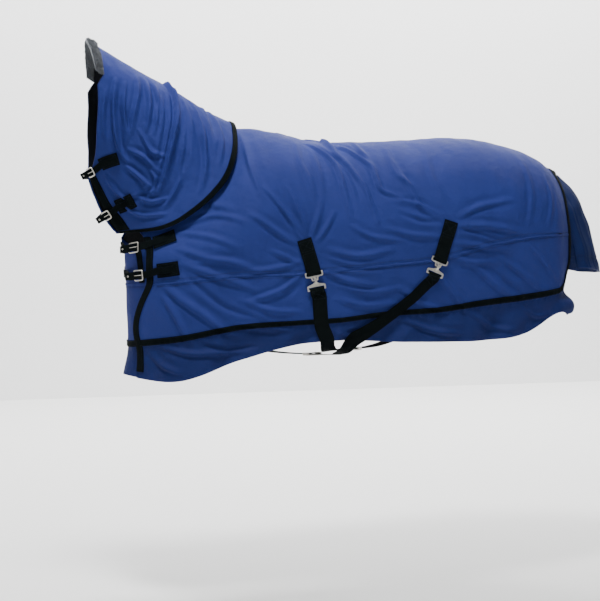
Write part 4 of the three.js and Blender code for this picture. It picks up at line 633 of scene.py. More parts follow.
def fabric(name, col_a, col_b, rough, sheen, weave, crinkle, dust=0.0, thread=(0.0013, 0.0017), spec=0.4):
    mat = bpy.data.materials.new(name)
    nt, nodes, links, bsdf = nodes_of(mat)
    at = N(nodes, "ShaderNodeAttribute", attribute_name="wv")
    sep = N(nodes, "ShaderNodeSeparateXYZ"); links.new(at.outputs["Vector"], sep.inputs[0])
    tc = N(nodes, "ShaderNodeTexCoord")
    def noise(scale, detail=3.0, rough_=0.55, vec=None):
        n = N(nodes, "ShaderNodeTexNoise"); n.inputs["Scale"].default_value = scale
        n.inputs["Detail"].default_value = detail; n.inputs["Roughness"].default_value = rough_
        links.new(vec or tc.outputs["Object"], n.inputs["Vector"]); return n.outputs["Fac"]
    big, mid, fine = noise(4.0), noise(23.0, 4.0), noise(210.0, 2.0)
    # over-and-under weave
    a = math_node(nt, "SINE", math_node(nt, "MULTIPLY", sep.outputs[0], math.tau / thread[0]))
    b = math_node(nt, "SINE", math_node(nt, "MULTIPLY", sep.outputs[1], math.tau / thread[1]))
    wv = math_node(nt, "MULTIPLY", a, b)
    # heavier threads every 6 mm
    ra = math_node(nt, "POWER", math_node(nt, "ABSOLUTE", math_node(nt, "COSINE", math_node(nt, "MULTIPLY", sep.outputs[0], math.pi / 0.006))), 24.0)
    rb = math_node(nt, "POWER", math_node(nt, "ABSOLUTE", math_node(nt, "COSINE", math_node(nt, "MULTIPLY", sep.outputs[1], math.pi / 0.006))), 24.0)
    rip = math_node(nt, "MAXIMUM", ra, rb)
    f = math_node(nt, "ADD", math_node(nt, "MULTIPLY", big, 0.9), math_node(nt, "MULTIPLY", mid, 0.35))
    f = math_node(nt, "SUBTRACT", f, 0.12)
    col = mixc(nt, f, col_a, col_b)
    shade = math_node(nt, "ADD", math_node(nt, "MULTIPLY", wv, 0.06), math_node(nt, "MULTIPLY", rip, 0.05))
    hs = N(nodes, "ShaderNodeHueSaturation"); links.new(col, hs.inputs["Color"])
    links.new(math_node(nt, "ADD", 1.0, shade), hs.inputs["Value"])
    col = hs.outputs[0]
    if dust:
        dm = math_node(nt, "MULTIPLY", smoothstep(nt, noise(9.0, 6.0, 0.7), 0.52, 0.75), dust)
        col = mixc(nt, dm, col, (0.32, 0.31, 0.29))
    links.new(col, bsdf.inputs["Base Color"])
    links.new(math_node(nt, "ADD", rough, math_node(nt, "MULTIPLY", math_node(nt, "SUBTRACT", mid, 0.5), 0.25)), bsdf.inputs["Roughness"])
    bsdf.inputs["Specular IOR Level"].default_value = spec
    bsdf.inputs["Sheen Weight"].default_value = sheen
    bsdf.inputs["Sheen Roughness"].default_value = 0.4
    h = math_node(nt, "ADD", math_node(nt, "MULTIPLY", wv, weave), math_node(nt, "MULTIPLY", rip, weave * 1.4))
    h = math_node(nt, "ADD", h, math_node(nt, "MULTIPLY", noise(34.0, 4.0, 0.5), crinkle))
    h = math_node(nt, "ADD", h, math_node(nt, "MULTIPLY", noise(95.0, 2.0, 0.5), crinkle * 0.22))
    h = math_node(nt, "ADD", h, math_node(nt, "MULTIPLY", fine, crinkle * 0.04))
    bp = N(nodes, "ShaderNodeBump"); bp.inputs["Strength"].default_value = 1.0; bp.inputs["Distance"].default_value = 1.0
    links.new(h, bp.inputs["Height"]); links.new(bp.outputs[0], bsdf.inputs["Normal"])
    return mat

def smoothstep(nt, x, a, b):
    n = nt.nodes.new("ShaderNodeMapRange"); n.interpolation_type = "SMOOTHSTEP"
    nt.links.new(x, n.inputs[0]); n.inputs[1].default_value = a; n.inputs[2].default_value = b
    return n.outputs[0]

def webbing(name, col, col2, rough=0.75):
    mat = bpy.data.materials.new(name)
    nt, nodes, links, bsdf = nodes_of(mat)
    at = N(nodes, "ShaderNodeAttribute", attribute_name="wv")
    sep = N(nodes, "ShaderNodeSeparateXYZ"); links.new(at.outputs["Vector"], sep.inputs[0])
    tc = N(nodes, "ShaderNodeTexCoord")
    # ribs across the width, with a herringbone slant
    y = math_node(nt, "ABSOLUTE", math_node(nt, "SUBTRACT", math_node(nt, "FRACT", math_node(nt, "MULTIPLY", sep.outputs[1], 1 / 0.0072)), 0.5))
    ph = math_node(nt, "ADD", math_node(nt, "MULTIPLY", sep.outputs[0], math.tau / 0.0021), math_node(nt, "MULTIPLY", y, 7.0))
    rib = math_node(nt, "SINE", ph)
    row = math_node(nt, "COSINE", math_node(nt, "MULTIPLY", sep.outputs[1], math.tau / 0.0018))
    nz = N(nodes, "ShaderNodeTexNoise"); nz.inputs["Scale"].default_value = 30.0; nz.inputs["Detail"].default_value = 4.0
    links.new(tc.outputs["Object"], nz.inputs["Vector"])
    base_ = mixc(nt, nz.outputs["Fac"], col, col2)
    hs = N(nodes, "ShaderNodeHueSaturation"); links.new(base_, hs.inputs["Color"])
    links.new(math_node(nt, "ADD", 1.0, math_node(nt, "MULTIPLY", math_node(nt, "ADD", rib, row), 0.14)), hs.inputs["Value"])
    links.new(hs.outputs[0], bsdf.inputs["Base Color"])
    links.new(math_node(nt, "ADD", rough, math_node(nt, "MULTIPLY", rib, 0.06)), bsdf.inputs["Roughness"])
    bsdf.inputs["Specular IOR Level"].default_value = 0.04
    bsdf.inputs["Sheen Weight"].default_value = 0.0
    h = math_node(nt, "ADD", math_node(nt, "MULTIPLY", rib, 0.00034), math_node(nt, "MULTIPLY", row, 0.00016))
    h = math_node(nt, "ADD", h, math_node(nt, "MULTIPLY", nz.outputs["Fac"], 0.0008))
    bp = N(nodes, "ShaderNodeBump"); bp.inputs["Distance"].default_value = 1.0
    links.new(h, bp.inputs["Height"]); links.new(bp.outputs[0], bsdf.inputs["Normal"])
    return mat

def metal(name):
    mat = bpy.data.materials.new(name)
    nt, nodes, links, bsdf = nodes_of(mat)
    tc = N(nodes, "ShaderNodeTexCoord")
    n1 = N(nodes, "ShaderNodeTexNoise"); n1.inputs["Scale"].default_value = 60.0; n1.inputs["Detail"].default_value = 6.0
    n2 = N(nodes, "ShaderNodeTexNoise"); n2.inputs["Scale"].default_value = 900.0
    for n in (n1, n2): links.new(tc.outputs["Object"], n.inputs["Vector"])
    links.new(mixc(nt, smoothstep(nt, n1.outputs["Fac"], 0.35, 0.75), (0.80, 0.77, 0.70), (0.58, 0.55, 0.49)), bsdf.inputs["Base Color"])
    bsdf.inputs["Metallic"].default_value = 0.92
    links.new(math_node(nt, "ADD", 0.22, math_node(nt, "MULTIPLY", n1.outputs["Fac"], 0.22)), bsdf.inputs["Roughness"])
    bp = N(nodes, "ShaderNodeBump"); bp.inputs["Distance"].default_value = 0.0002
    links.new(n2.outputs["Fac"], bp.inputs["Height"]); links.new(bp.outputs[0], bsdf.inputs["Normal"])
    return mat

def fleece_mat(name):
    mat = bpy.data.materials.new(name)
    nt, nodes, links, bsdf = nodes_of(mat)
    tc = N(nodes, "ShaderNodeTexCoord")
    v = N(nodes, "ShaderNodeTexVoronoi"); v.inputs["Scale"].default_value = 240.0
    n = N(nodes, "ShaderNodeTexNoise"); n.inputs["Scale"].default_value = 380.0; n.inputs["Detail"].default_value = 5.0
    n3 = N(nodes, "ShaderNodeTexNoise"); n3.inputs["Scale"].default_value = 30.0; n3.inputs["Detail"].default_value = 3.0
    for x in (v, n, n3): links.new(tc.outputs["Object"], x.inputs["Vector"])
    c = mixc(nt, n.outputs["Fac"], (0.070, 0.078, 0.092), (0.26, 0.28, 0.31))
    c = mixc(nt, math_node(nt, "MULTIPLY", smoothstep(nt, n3.outputs["Fac"], 0.4, 0.7), 0.5), c, (0.20, 0.215, 0.24))
    links.new(c, bsdf.inputs["Base Color"])
    bsdf.inputs["Roughness"].default_value = 0.95
    bsdf.inputs["Sheen Weight"].default_value = 0.25
    bsdf.inputs["Specular IOR Level"].default_value = 0.1
    h = math_node(nt, "ADD", math_node(nt, "MULTIPLY", v.outputs["Distance"], -0.0025), math_node(nt, "MULTIPLY", n.outputs["Fac"], 0.003))
    bp = N(nodes, "ShaderNodeBump"); bp.inputs["Distance"].default_value = 1.0
    links.new(h, bp.inputs["Height"]); links.new(bp.outputs[0], bsdf.inputs["Normal"])
    return mat

BLUE = fabric("blue_outer", (0.0172, 0.0268, 0.132), (0.0272, 0.0410, 0.198), 0.62, 0.0, 0.00010, 0.0029, dust=0.003, spec=0.06)
# darker copy of the outer blue for the tail flap: painted shade on the flap hanging at the rear, which is the same
# fabric as the rest
BLUE_D = fabric("blue_outer_dark", (0.0070, 0.0135, 0.058), (0.0110, 0.0205, 0.086), 0.62, 0.0, 0.00010, 0.0029, spec=0.06)
# darker copy of the outer blue for the skirts: painted shade on the low-hanging cloth, which is the same fabric as the
# rest
BLUE_S = fabric("blue_outer_skirt", (0.0096, 0.0164, 0.077), (0.0156, 0.0248, 0.115), 0.62, 0.0, 0.00010, 0.0030, dust=0.006, spec=0.06)
LINING = fabric("lining_black", (0.006, 0.007, 0.010), (0.008, 0.009, 0.012), 0.70, 0.0, 0.00006, 0.0030, spec=0.08)
WEB = webbing("webbing_black", (0.0016, 0.0032, 0.0036), (0.0034, 0.0062, 0.0068))
WEB_BLUE = webbing("binding_navy", (0.006, 0.016, 0.055), (0.010, 0.026, 0.085))
THREAD = webbing("thread_dark", (0.010, 0.015, 0.024), (0.022, 0.030, 0.042), 0.6)
NICKEL = metal("nickel")
FLEECE = fleece_mat("fleece_grey")

# ------------------------------------------------------------------ sheets of the rug's body
T = math.tau
def panel(name, ws, us_n, off_out, off_in, mat, part="body", umax=None):
    """ws are signed rows: negative on the right side"""
    col = np.linspace(0, 1, us_n + 1)
    w = ws[None, :]; side = np.where(w >= 0, 1.0, -1.0); v = np.abs(w)
    e = front_edge(side, v)
    u = e + ((10 if umax is None else umax(v)) - e) * col[:, None]
    v2 = np.broadcast_to(v, u.shape); s2 = np.broadcast_to(side, u.shape)
    o, n = skin(part, s2, u, v2, off_out)
    i, _ = skin(part, s2, u, v2, off_in)
    return shell(name, o, i, mat), o

NU = 310 if not QUICK else 120
top_l = refine([0, 1, 2, 3, 4, 5, 5.992], 0.055 if not QUICK else 0.13)
rows_top = np.concatenate([-top_l[::-1][:-1], top_l])
ob, G_top = panel("back_panel_cloth", rows_top, NU, 0.0, -0.0055, BLUE)
done(ob, "rug", "blue_polyester", "back_panel")
SHEETS = [(ob, G_top, "draped")]
for side, tag in ((1, "left"), (-1, "right")):
    r = side * refine([6.008, 7, 7.996], 0.06 if not QUICK else 0.13)
    ob, g = panel("side_panel_%s_cloth" % tag, r, NU, 0.0, -0.0055, BLUE)
    done(ob, "rug", "blue_polyester", "side_panel_" + tag); SHEETS.append((ob, g, "hung"))
    r = side * refine([8.004, 9, 10], 0.06 if not QUICK else 0.13)
    # the skirts take the darker copy of the blue, which is painted shade
    ob, g = panel("skirt_%s_cloth" % tag, r, NU, 0.0, -0.0026, BLUE_S, umax=lambda v: 10 - 0.42 * smooth(v, 8.8, 10.0) ** 2)
    done(ob, "rug", "blue_polyester_dark", "skirt_" + tag); SHEETS.append((ob, g, "hung"))
lin_l = refine([0, 2, 4, 6, 8.05], 0.07 if not QUICK else 0.2)
rows_lin = np.concatenate([-lin_l[::-1][:-1], lin_l])
ob, g = panel("body_lining_cloth", rows_lin, NU * 4 // 5, -0.0065, -0.0083, LINING)
done(ob, "rug", "lining_nylon", "body_lining"); SHEETS.append((ob, g, "draped"))

# ------------------------------------------------------------------ ribbons
def ribbon(name, pts, width, thick, mat, body, slot, nodes=(), sub=6, nw=8, crown=0.0, widths=None):
    p = np.array([q[0] for q in pts], float); n = np.array([q[1] for q in pts], float)
    m = (len(pts) - 1) * sub + 1
    P = resample(p, m); Nn = unit(resample(n, m))
    t = unit(np.gradient(P, axis=0)); c = unit(np.cross(Nn, t)); Nn = unit(np.cross(t, c))
    W = width if widths is None else np.interp(np.linspace(0, 1, m), np.linspace(0, 1, len(widths)), widths)[:, None, None]
    x = np.linspace(-0.5, 0.5, nw + 1)
    e = 1 - np.abs(2 * x) ** 10 * 0.75
    o = P[:, None] + c[:, None] * (x[None, :, None] * W) + Nn[:, None] * ((thick / 2 * e + crown * (1 - (2 * x) ** 2))[None, :, None])
    i = P[:, None] + c[:, None] * (x[None, :, None] * W) - Nn[:, None] * ((thick / 2 * e - crown * (1 - (2 * x) ** 2))[None, :, None])
    ob = shell(name, o, i, mat)
    done(ob, body, slot, *nodes)
    return ob

def on_skin(part, side, uvs, off, n, relief=True):
    """(point, normal) frames along a path in (u, v)"""
    q = resample(np.array(uvs, float), n)
    p, nn = skin(part, side, q[:, 0], q[:, 1], 0.0, relief)
    off = off(np.linspace(0, 1, n)) if callable(off) else off
    p = p + nn * np.reshape(off, (-1, 1))
    return [(p[i], nn[i]) for i in range(n)]

def stitches(name, paths, body, slot="black_webbing", pitch=0.0062, length=0.0044, r=0.00055, mat=None):
    """rows of thread stitches; each path is a list of (point, normal)"""
    V_, F_, A_ = [], [], []
    ring = [(math.cos(a), math.sin(a)) for a in np.linspace(0, T, 6)[:-1]]
    prof = [(-0.5, 0.25, -0.0006), (-0.32, 0.9, 0.0), (0.0, 1.0, 0.00025), (0.32, 0.9, 0.0), (0.5, 0.25, -0.0006)]
    for path in paths:
        p = np.array([q[0] for q in path], float); n = np.array([q[1] for q in path], float)
        L = np.concatenate([[0], np.cumsum(np.linalg.norm(np.diff(p, axis=0), axis=1))])
        k = max(1, int(L[-1] / pitch))
        s = (np.arange(k) + 0.5) * L[-1] / k
        c = np.stack([np.interp(s, L, p[:, j]) for j in range(3)], -1)
        c2 = np.stack([np.interp(s + 0.001, L, p[:, j]) for j in range(3)], -1)
        c1 = np.stack([np.interp(s - 0.001, L, p[:, j]) for j in range(3)], -1)
        t = unit(c2 - c1); nn = unit(np.stack([np.interp(s, L, n[:, j]) for j in range(3)], -1)); b = np.cross(nn, t)
        for i in range(k):
            o = len(V_)
            for (x, w, h) in prof:
                for (ca, sa) in ring:
                    V_.append(c[i] + t[i] * x * length + b[i] * ca * r * w + nn[i] * (sa * r * w + h))
                    A_.append((s[i], sa * r))
            m = len(ring)
            for a in range(len(prof) - 1):
                for q in range(m):
                    F_.append((o + a * m + q, o + a * m + (q + 1) % m, o + (a + 1) * m + (q + 1) % m, o + (a + 1) * m + q))
            F_.append(tuple(o + q for q in range(m))[::-1]); F_.append(tuple(o + (len(prof) - 1) * m + q for q in range(m)))
    ob = new_mesh(name, np.array(V_), F_, mat or THREAD, np.array(A_))
    return done(ob, body, slot)

def box_x(a, b, w, inset=0.005):
    """a box with a cross inside, as paths between frames a and b (lists of frames along the patch)"""
    p = np.array([q[0] for q in a]); n = np.array([q[1] for q in a])
    t = unit(np.gradient(p, axis=0)); c = unit(np.cross(n, t))
    h = w / 2 - inset
    L = np.concatenate([[0], np.cumsum(np.linalg.norm(np.diff(p, axis=0), axis=1))])
    s0, s1 = b
    def at(s, x):
        return (np.array([np.interp(s, L, p[:, j]) for j in range(3)]) + np.array([np.interp(s, L, c[:, j]) for j in range(3)]) * x,
                np.array([np.interp(s, L, n[:, j]) for j in range(3)]))
    K = 14
    def line(sa, xa, sb, xb): return [at(sa + (sb - sa) * i / K, xa + (xb - xa) * i / K) for i in range(K + 1)]
    return [line(s0, -h, s1, -h), line(s0, h, s1, h), line(s0, -h, s0, h), line(s1, -h, s1, h), line(s0, -h, s1, h), line(s0, h, s1, -h)]

def path_len(f):
    p = np.array([q[0] for q in f]); return float(np.linalg.norm(np.diff(p, axis=0), axis=1).sum())

def shifted(frames, x, lift=0.0):
    p = np.array([q[0] for q in frames]); n = np.array([q[1] for q in frames])
    c = unit(np.cross(n, unit(np.gradient(p, axis=0))))
    return [(p[i] + c[i] * x + n[i] * lift, n[i]) for i in range(len(frames))]

# seam stitching: double rows under the side seam, rows on the bindings
seam = []
for side in (1, -1):
    e = float(front_edge(side, 6.0))
    for dv in (-0.13, 0.10):
        seam.append(on_skin("body", side, [[e + 0.15 + (9.8 - e) * i / 40, 6.0 + dv] for i in range(41)], 0.0009, 700))
stitches("side_seam_stitching", seam, "rug")
welt = []
for side, tag in ((1, "left"), (-1, "right")):
    e = float(front_edge(side, 6.0))
    f = on_skin("body", side, [[e + 0.14 + (9.84 - e - 0.14) * i / 40, 6.0] for i in range(41)], 0.0012, 520)
    ribbon("side_seam_fell_%s" % tag, f, 0.0080, 0.0022, BLUE, "rug", "blue_polyester", (), sub=2, nw=6, crown=0.0006)

# hem binding: along the side, then up the rear edge
def strip(name, side, uv_a, uv_b, lift, thick, mat, body, slot, nodes, n, nw=6, part="body", bow=0.0007):
    """strip between two (u, v) lines"""
    a = resample(np.array(uv_a, float), n); b = resample(np.array(uv_b, float), n)
    x = np.linspace(0, 1, nw + 1)
    uv = a[:, None] * (1 - x[None, :, None]) + b[:, None] * x[None, :, None]
    p, nn = skin(part, side, uv[..., 0], uv[..., 1], 0.0)
    e = 1 - np.abs(2 * x - 1) ** 8 * 0.7
    lf = lift(uv[..., 0], uv[..., 1]) if callable(lift) else lift
    cr = bow * (1 - (2 * x - 1) ** 2)
    o = p + nn * ((lf + thick * e[None]) + cr[None])[..., None]
    i = p + nn * ((lf + 0 * e[None]) + 0 * cr[None])[..., None]
    ob = shell(name, o, i, mat)
    return done(ob, body, slot, *nodes)
HB, RB = 0.24, 0.21
hem_st = []
for side, tag in ((1, "left"), (-1, "right")):
    e = float(front_edge(side, 8.0)) + 0.075
    k = 60
    us = np.linspace(e, 9.0, k)
    arc = np.radians(np.linspace(0, 90, 13))[1:]
    vs = np.linspace(6.85, 0.03, 60)[1:]
    outer = [[u, 8.0] for u in us] + [[9.0 + 1.0 * math.sin(q), 8.0 - 1.15 * (1 - math.cos(q))] for q in arc] + [[10.0, v] for v in vs]
    inner = [[u, 8.0 - HB] for u in us] + [[9.0 + (1.0 - RB) * math.sin(q), 8.0 - HB - (1.15 - HB) * (1 - math.cos(q))] for q in arc] + [[10 - RB, v] for v in vs]
    strip("hem_binding_%s_web" % tag, side, outer, inner, (lambda U, V_: 0.0014 + 0.0016 * smooth(U, 8.6, 9.4)) if side < 0 else 0.0014, 0.0019, WEB, "rug", "black_webbing", ("hem_binding_" + tag,), 820)
    for f_ in (0.14, 0.86):
        q_ = [[outer[i][0] * (1 - f_) + inner[i][0] * f_, outer[i][1] * (1 - f_) + inner[i][1] * f_] for i in range(len(outer))]
        hem_st.append(on_skin("body", side, q_, (lambda x: 0.0040) if side > 0 else (lambda x: 0.0040 + 0.0016 * smooth(x, 0.35, 0.5)), 760))
    # front binding of the flap
    rows = refine([4.3, 6, 8, 9.6] if side > 0 else [5.3, 6.5, 8, 9.6], 0.12)
    w = 0.098
    a = [[float(front_edge(side, v)) - 0.01, v] for v in rows]; b = [[float(front_edge(side, v)) + w, v] for v in rows]
    strip("front_binding_%s_web" % tag, side, a, b, 0.0009, 0.0019, WEB, "rug", "black_webbing", ("front_binding_" + tag,), 260)
    hem_st.append(on_skin("body", side, [[float(front_edge(side, v)) + w - 0.02, v] for v in rows], 0.0032, 260))
stitches("binding_stitching", hem_st, "rug")

# ------------------------------------------------------------------ strap hardware frames
def tangent_frame(o, n, d):
    s = unit(d - n * (d @ n)); t = unit(np.cross(n, s))
    M = np.eye(4); M[:3, 0] = s; M[:3, 1] = t; M[:3, 2] = n; M[:3, 3] = o
    return M
def lerp(a, b, t): return a + (b - a) * t
def loc_of(M, n):
    return lambda s, h: ((M @ np.array([s / 1000, 0, h / 1000, 1]))[:3], n)
def one(part, side, u, v, off=0.0, relief=False):
    p, n = skin(part, side, np.array([u]), np.array([v]), off, relief)
    return p[0], n[0]

def tube(name, path, r, mat, body, slot, nodes=(), closed=False, seg=14, flat=1.0, up=None):
    """round or oval bar along a path of points; r may be a list"""
    p = np.array(path, float); n = len(p)
    if closed: t = unit(np.roll(p, -1, 0) - np.roll(p, 1, 0))
    else: t = unit(np.gradient(p, axis=0))
    r = np.broadcast_to(np.asarray(r, float), (n,))
    u0 = np.array(up, float)
    b = unit(np.cross(np.broadcast_to(u0, t.shape), t)); a = np.cross(t, b)
    ang = np.linspace(0, T, seg + 1)[:-1]
    V_ = p[:, None] + r[:, None, None] * (np.cos(ang)[None, :, None] * b[:, None] + flat * np.sin(ang)[None, :, None] * a[:, None])
    V_ = V_.reshape(-1, 3).tolist(); F_ = []
    m = n if closed else n - 1
    for i in range(m):
        for j in range(seg):
            F_.append((i * seg + j, i * seg + (j + 1) % seg, ((i + 1) % n) * seg + (j + 1) % seg, ((i + 1) % n) * seg + j))
    if not closed:
        F_.append(tuple(range(seg))[::-1]); F_.append(tuple((n - 1) * seg + j for j in range(seg)))
    ob = new_mesh(name, np.array(V_), F_, mat, np.zeros((len(V_), 2)))
    return done(ob, body, slot, *nodes)

WIRE = 4.4
def rrect_path(L, W, r, k=8):
    out = []
    for cx, cy, a0 in ((L / 2 - r, W / 2 - r, 0), (-L / 2 + r, W / 2 - r, 90), (-L / 2 + r, -W / 2 + r, 180), (L / 2 - r, -W / 2 + r, 270)):
        for i in range(k + 1):
            a = math.radians(a0 + 90 * i / k); out.append((cx + r * math.cos(a), cy + r * math.sin(a)))
    return out

def eyelet(name, c, n, s, body, r=0.0042, w=0.0012):
    b = np.cross(n, s)
    path = [c + (s * math.cos(a) + b * math.sin(a)) * r for a in np.linspace(0, T, 25)[:-1]]
    return tube(name, path, w, NICKEL, body, "nickel", closed=True, seg=8, up=n)

def buckle(tag, M, L, W, strap, web_w, chape_len, body, prong_body, onward):
    hx = L / 2 + WIRE / 2
    X = lambda s, t, n: (M @ np.array([s / 1000, t / 1000, n / 1000, 1]))[:3]
    nrm = M[:3, 2]
    frame_pts = []
    ring = rrect_path(L + WIRE, W + WIRE, 5.2)
    dense = []
    for i in range(len(ring)):
        a, b = np.array(ring[i]), np.array(ring[(i + 1) % len(ring)])
        k = max(1, int(np.linalg.norm(b - a) / 3))
        dense += [a + (b - a) * j / k for j in range(k)]
    tube("%s_frame" % tag, [X(a, b, 0) for a, b in dense], WIRE / 2000, NICKEL, body, "nickel", (tag + "_buckle_frame",), closed=True, up=nrm)
    # prong: eye round the heel bar, arm resting on the front bar
    pts = []
    for i in range(13):
        a = math.radians(200 + 300 * i / 12)
        pts.append(X(hx - 3.6 * math.cos(a) * 1.0, 0, 3.6 * math.sin(a)))
    r0 = 3.7
    pts = [X(hx + r0 * math.cos(a), 0, r0 * math.sin(a)) for a in np.linspace(math.radians(-150), math.radians(118), 15)]
    pts += [X(hx - 7, 0, 5.2), X(0, 0, 5.6), X(-hx + 5, 0, 4.9), X(-hx + 0.5, 0, 4.2), X(-hx - 2.6, 0, 3.2)]
    q = resample(np.array(pts), 70)
    rr = np.interp(np.linspace(0, 1, 70), [0, 0.3, 0.93, 1], [1.25, 1.05, 1.0, 0.65]) / 1000
    tube("%s_prong" % tag, q, rr, NICKEL, prong_body, "nickel", (tag + "_buckle_prong",), up=M[:3, 1])
    # chape: webbing loop round the heel bar, two legs side by side of the prong
    R = WIRE / 2 + 1.5
    for sgn, nm in ((1, "a"), (-1, "b")):
        cw = (W - 2.4 - 6.4) / 2
        off = sgn * (cw / 2 + 3.2)
        prof = [(hx + 15, 1.1), (hx + 10, 1.5), (hx + 4.5, 2.8)] + [(hx + R * math.cos(a), R * math.sin(a)) for a in np.linspace(math.radians(55), math.radians(305), 12)] + [(hx + 4.5, -2.8), (hx + 10, -1.8), (hx + 15, -1.4)]
        pp = np.array([X(s, off, n) for s, n in prof])
        tt = unit(np.gradient(pp, axis=0)); nn = unit(np.cross(tt, np.broadcast_to(M[:3, 1], tt.shape)))
        ribbon("%s_chape_%s" % (tag, nm), [(pp[i], nn[i]) for i in range(len(pp))], cw / 1000, 0.0017, WEB, body, "black_webbing", (tag + "_buckle_chape",) if sgn > 0 else (), sub=3, nw=4)
    first = [(X(hx + 9.5, 0, -0.1), nrm), (X(hx + 16, 0, -0.2), nrm), (X(hx + 26, 0, -2.2 if onward[1] else -0.8), nrm)]
    ch = ribbon("%s_chape_strap" % tag, first + onward[0], (W - 2.6) / 1000, 0.0030, WEB, body, "black_webbing", (), sub=8, nw=8)
    Pc, Qc = resample(np.array([q[0] for q in first + onward[0]]), 80), unit(resample(np.array([q[1] for q in first + onward[0]]), 80))
    fc = [(Pc[i], Qc[i]) for i in range(80)]
    stitches("%s_chape_stitching" % tag, [shifted(fc, (W / 2 - 3.4) / 1000, 0.0016), shifted(fc, -(W / 2 - 3.4) / 1000, 0.0016), shifted(fc[:6], 0.004, 0.0016), shifted(fc[:6], -0.004, 0.0016)], body, pitch=0.0045, length=0.0034, r=0.0004)
    # billet: one strap, stitched along both edges, with an eyelet near its end
    b = ribbon("%s_billet_web" % tag, strap, web_w / 1000, 0.0021, WEB, body, "black_webbing", (tag + "_billet",), sub=8, nw=10)
    p = np.array([x[0] for x in strap]); nn = np.array([x[1] for x in strap])
    m = (len(strap) - 1) * 6 + 1
    P, Q = resample(p, m), unit(resample(nn, m))
    fr = [(P[i], Q[i]) for i in range(m)]
    stitches("%s_billet_stitching" % tag, [shifted(fr, (web_w / 2 - 2.2) / 1000, 0.0011), shifted(fr, -(web_w / 2 - 2.2) / 1000, 0.0011)], body, pitch=0.0045, length=0.0034, r=0.0004)
    L_ = np.concatenate([[0], np.cumsum(np.linalg.norm(np.diff(P, axis=0), axis=1))])
    for i, back in enumerate((0.012,)):
        s = L_[-1] - back
        c = np.array([np.interp(s, L_, P[:, j]) for j in range(3)]); t = unit(np.array([np.interp(s + .001, L_, P[:, j]) for j in range(3)]) - c)
        nz = np.array([np.interp(s, L_, Q[:, j]) for j in range(3)]); nz = unit(nz - t * (nz @ t))
        eyelet("%s_eyelet_%d" % (tag, i + 1), c + nz * 0.0011, nz, t, body, 0.0026, 0.0007)

CHEST = [dict(tag="chest_upper", patch=[[0.80, 4.535], [1.135, 4.325]], b=[0.481, 4.694], free=[-0.03, 4.60]),
         dict(tag="chest_lower", patch=[[0.79, 5.55], [1.125, 5.487]], b=[0.501, 5.689], free=[-0.04, 5.65])]
for c in CHEST:
    A, B = c["patch"]
    far = [A[0] - 0.0, A[1]]
    f = on_skin("body", 1, [lerp(np.array(A), np.array(B), t) for t in np.linspace(0, 1, 5)], 0.0045, 17)
    ribbon("%s_patch_web" % c["tag"], f, 0.048, 0.0021, WEB, "rug", "black_webbing", (c["tag"] + "_patch",), sub=2, nw=12)
    ln = path_len(f)
    stitches("%s_patch_stitching" % c["tag"], box_x([(p + n * 0.0012, n) for p, n in f], (0.006, ln - 0.006), 0.048), "rug")
    q, qn = one("body", 1, *c["b"])
    dirv = one("body", 1, *c["free"])[0] - one("body", 1, *c["patch"][1])[0]
    M = tangent_frame(q + qn * 0.0085, qn, dirv)
    L = 34; hx = L / 2 + WIRE / 2; loc = loc_of(M, qn)
    start = on_skin("body", 1, [lerp(np.array(A), np.array(B), t) for t in np.linspace(0.62, 0.05, 5)], 0.0078, 4)
    pts = [*start, loc(-hx - 9, -3.6), loc(-hx, -4.4), loc(-hx + 7, -3.2), loc(0, 0.6), loc(hx - 7, 4.4), loc(hx, 5.4), loc(hx + 9, 5.6), loc(hx + 22, 5.0), loc(hx + 36, 4.4)]
    f1 = lerp(c["patch"][0][1], c["b"][1], 0.6)
    on = []
    for u, v, h in ((-0.10, lerp(c["b"][1], f1, 0.6), 0.0034), (0.08, f1 + 0.02, 0.0036), (0.30, f1, 0.0064), (0.52, f1 - 0.04, 0.0068)):
        a_, b_ = skin("body", -1, np.array([u]), np.array([v]), 0.0)
        on.append((a_[0] + b_[0] * h, b_[0]))
    buckle(c["tag"], M, 34, 29, pts, 25, 46, "rug", c["tag"] + "_prong", (on, True))
    f = on_skin("body", -1, [[lerp(0.30, 0.86, t), f1 - 0.1 * t] for t in np.linspace(0, 1, 5)], 0.0044, 17)
    ribbon("%s_buckle_patch_web" % c["tag"], f, 0.048, 0.0021, WEB, "rug", "black_webbing", (c["tag"] + "_buckle_patch",), sub=2, nw=10)
f = on_skin("body", 1, [[0.47, v] for v in np.linspace(4.42, 5.95, 9)], -FLAP_DROP + 0.0034, 30)
ribbon("chest_buckle_band_web", f, 0.026, 0.0022, WEB, "rug", "black_webbing", ("chest_buckle_band",), sub=2, nw=8)

# ------------------------------------------------------------------ surcingles
def plate(name, outer, holes, thick, M, body, nodes, axis="st", shift=0.0, r=0.0007):
    cu = bpy.data.curves.new(name, "CURVE"); cu.dimensions = "2D"; cu.fill_mode = "BOTH"
    for loop in [outer] + holes:
        sp = cu.splines.new("POLY"); sp.points.add(len(loop) - 1); sp.use_cyclic_u = True
        for i, (x, y) in enumerate(loop): sp.points[i].co = (x / 1000, y / 1000, 0, 1)
    cu.extrude = thick / 2000 - r; cu.bevel_depth = r; cu.bevel_resolution = 2; cu.offset = -r
    o = bpy.data.objects.new(name + "_c", cu); bpy.context.scene.collection.objects.link(o)
    bpy.context.view_layer.update()
    me = bpy.data.meshes.new_from_object(o.evaluated_get(bpy.context.evaluated_depsgraph_get()))
    bpy.data.objects.remove(o); bpy.data.curves.remove(cu)
    K = np.array(M, float)
    if axis == "sn":
        R = np.eye(4); R[:3, 0] = M[:3, 0]; R[:3, 1] = M[:3, 2]; R[:3, 2] = -M[:3, 1]; R[:3, 3] = M[:3, 3]; K = R
    me.transform(Matrix(K.tolist()))
    me.name = name; me.materials.clear(); me.materials.append(NICKEL)
    ob = bpy.data.objects.new(name, me); bpy.context.scene.collection.objects.link(ob)
    return done(ob, body, "nickel", *nodes)

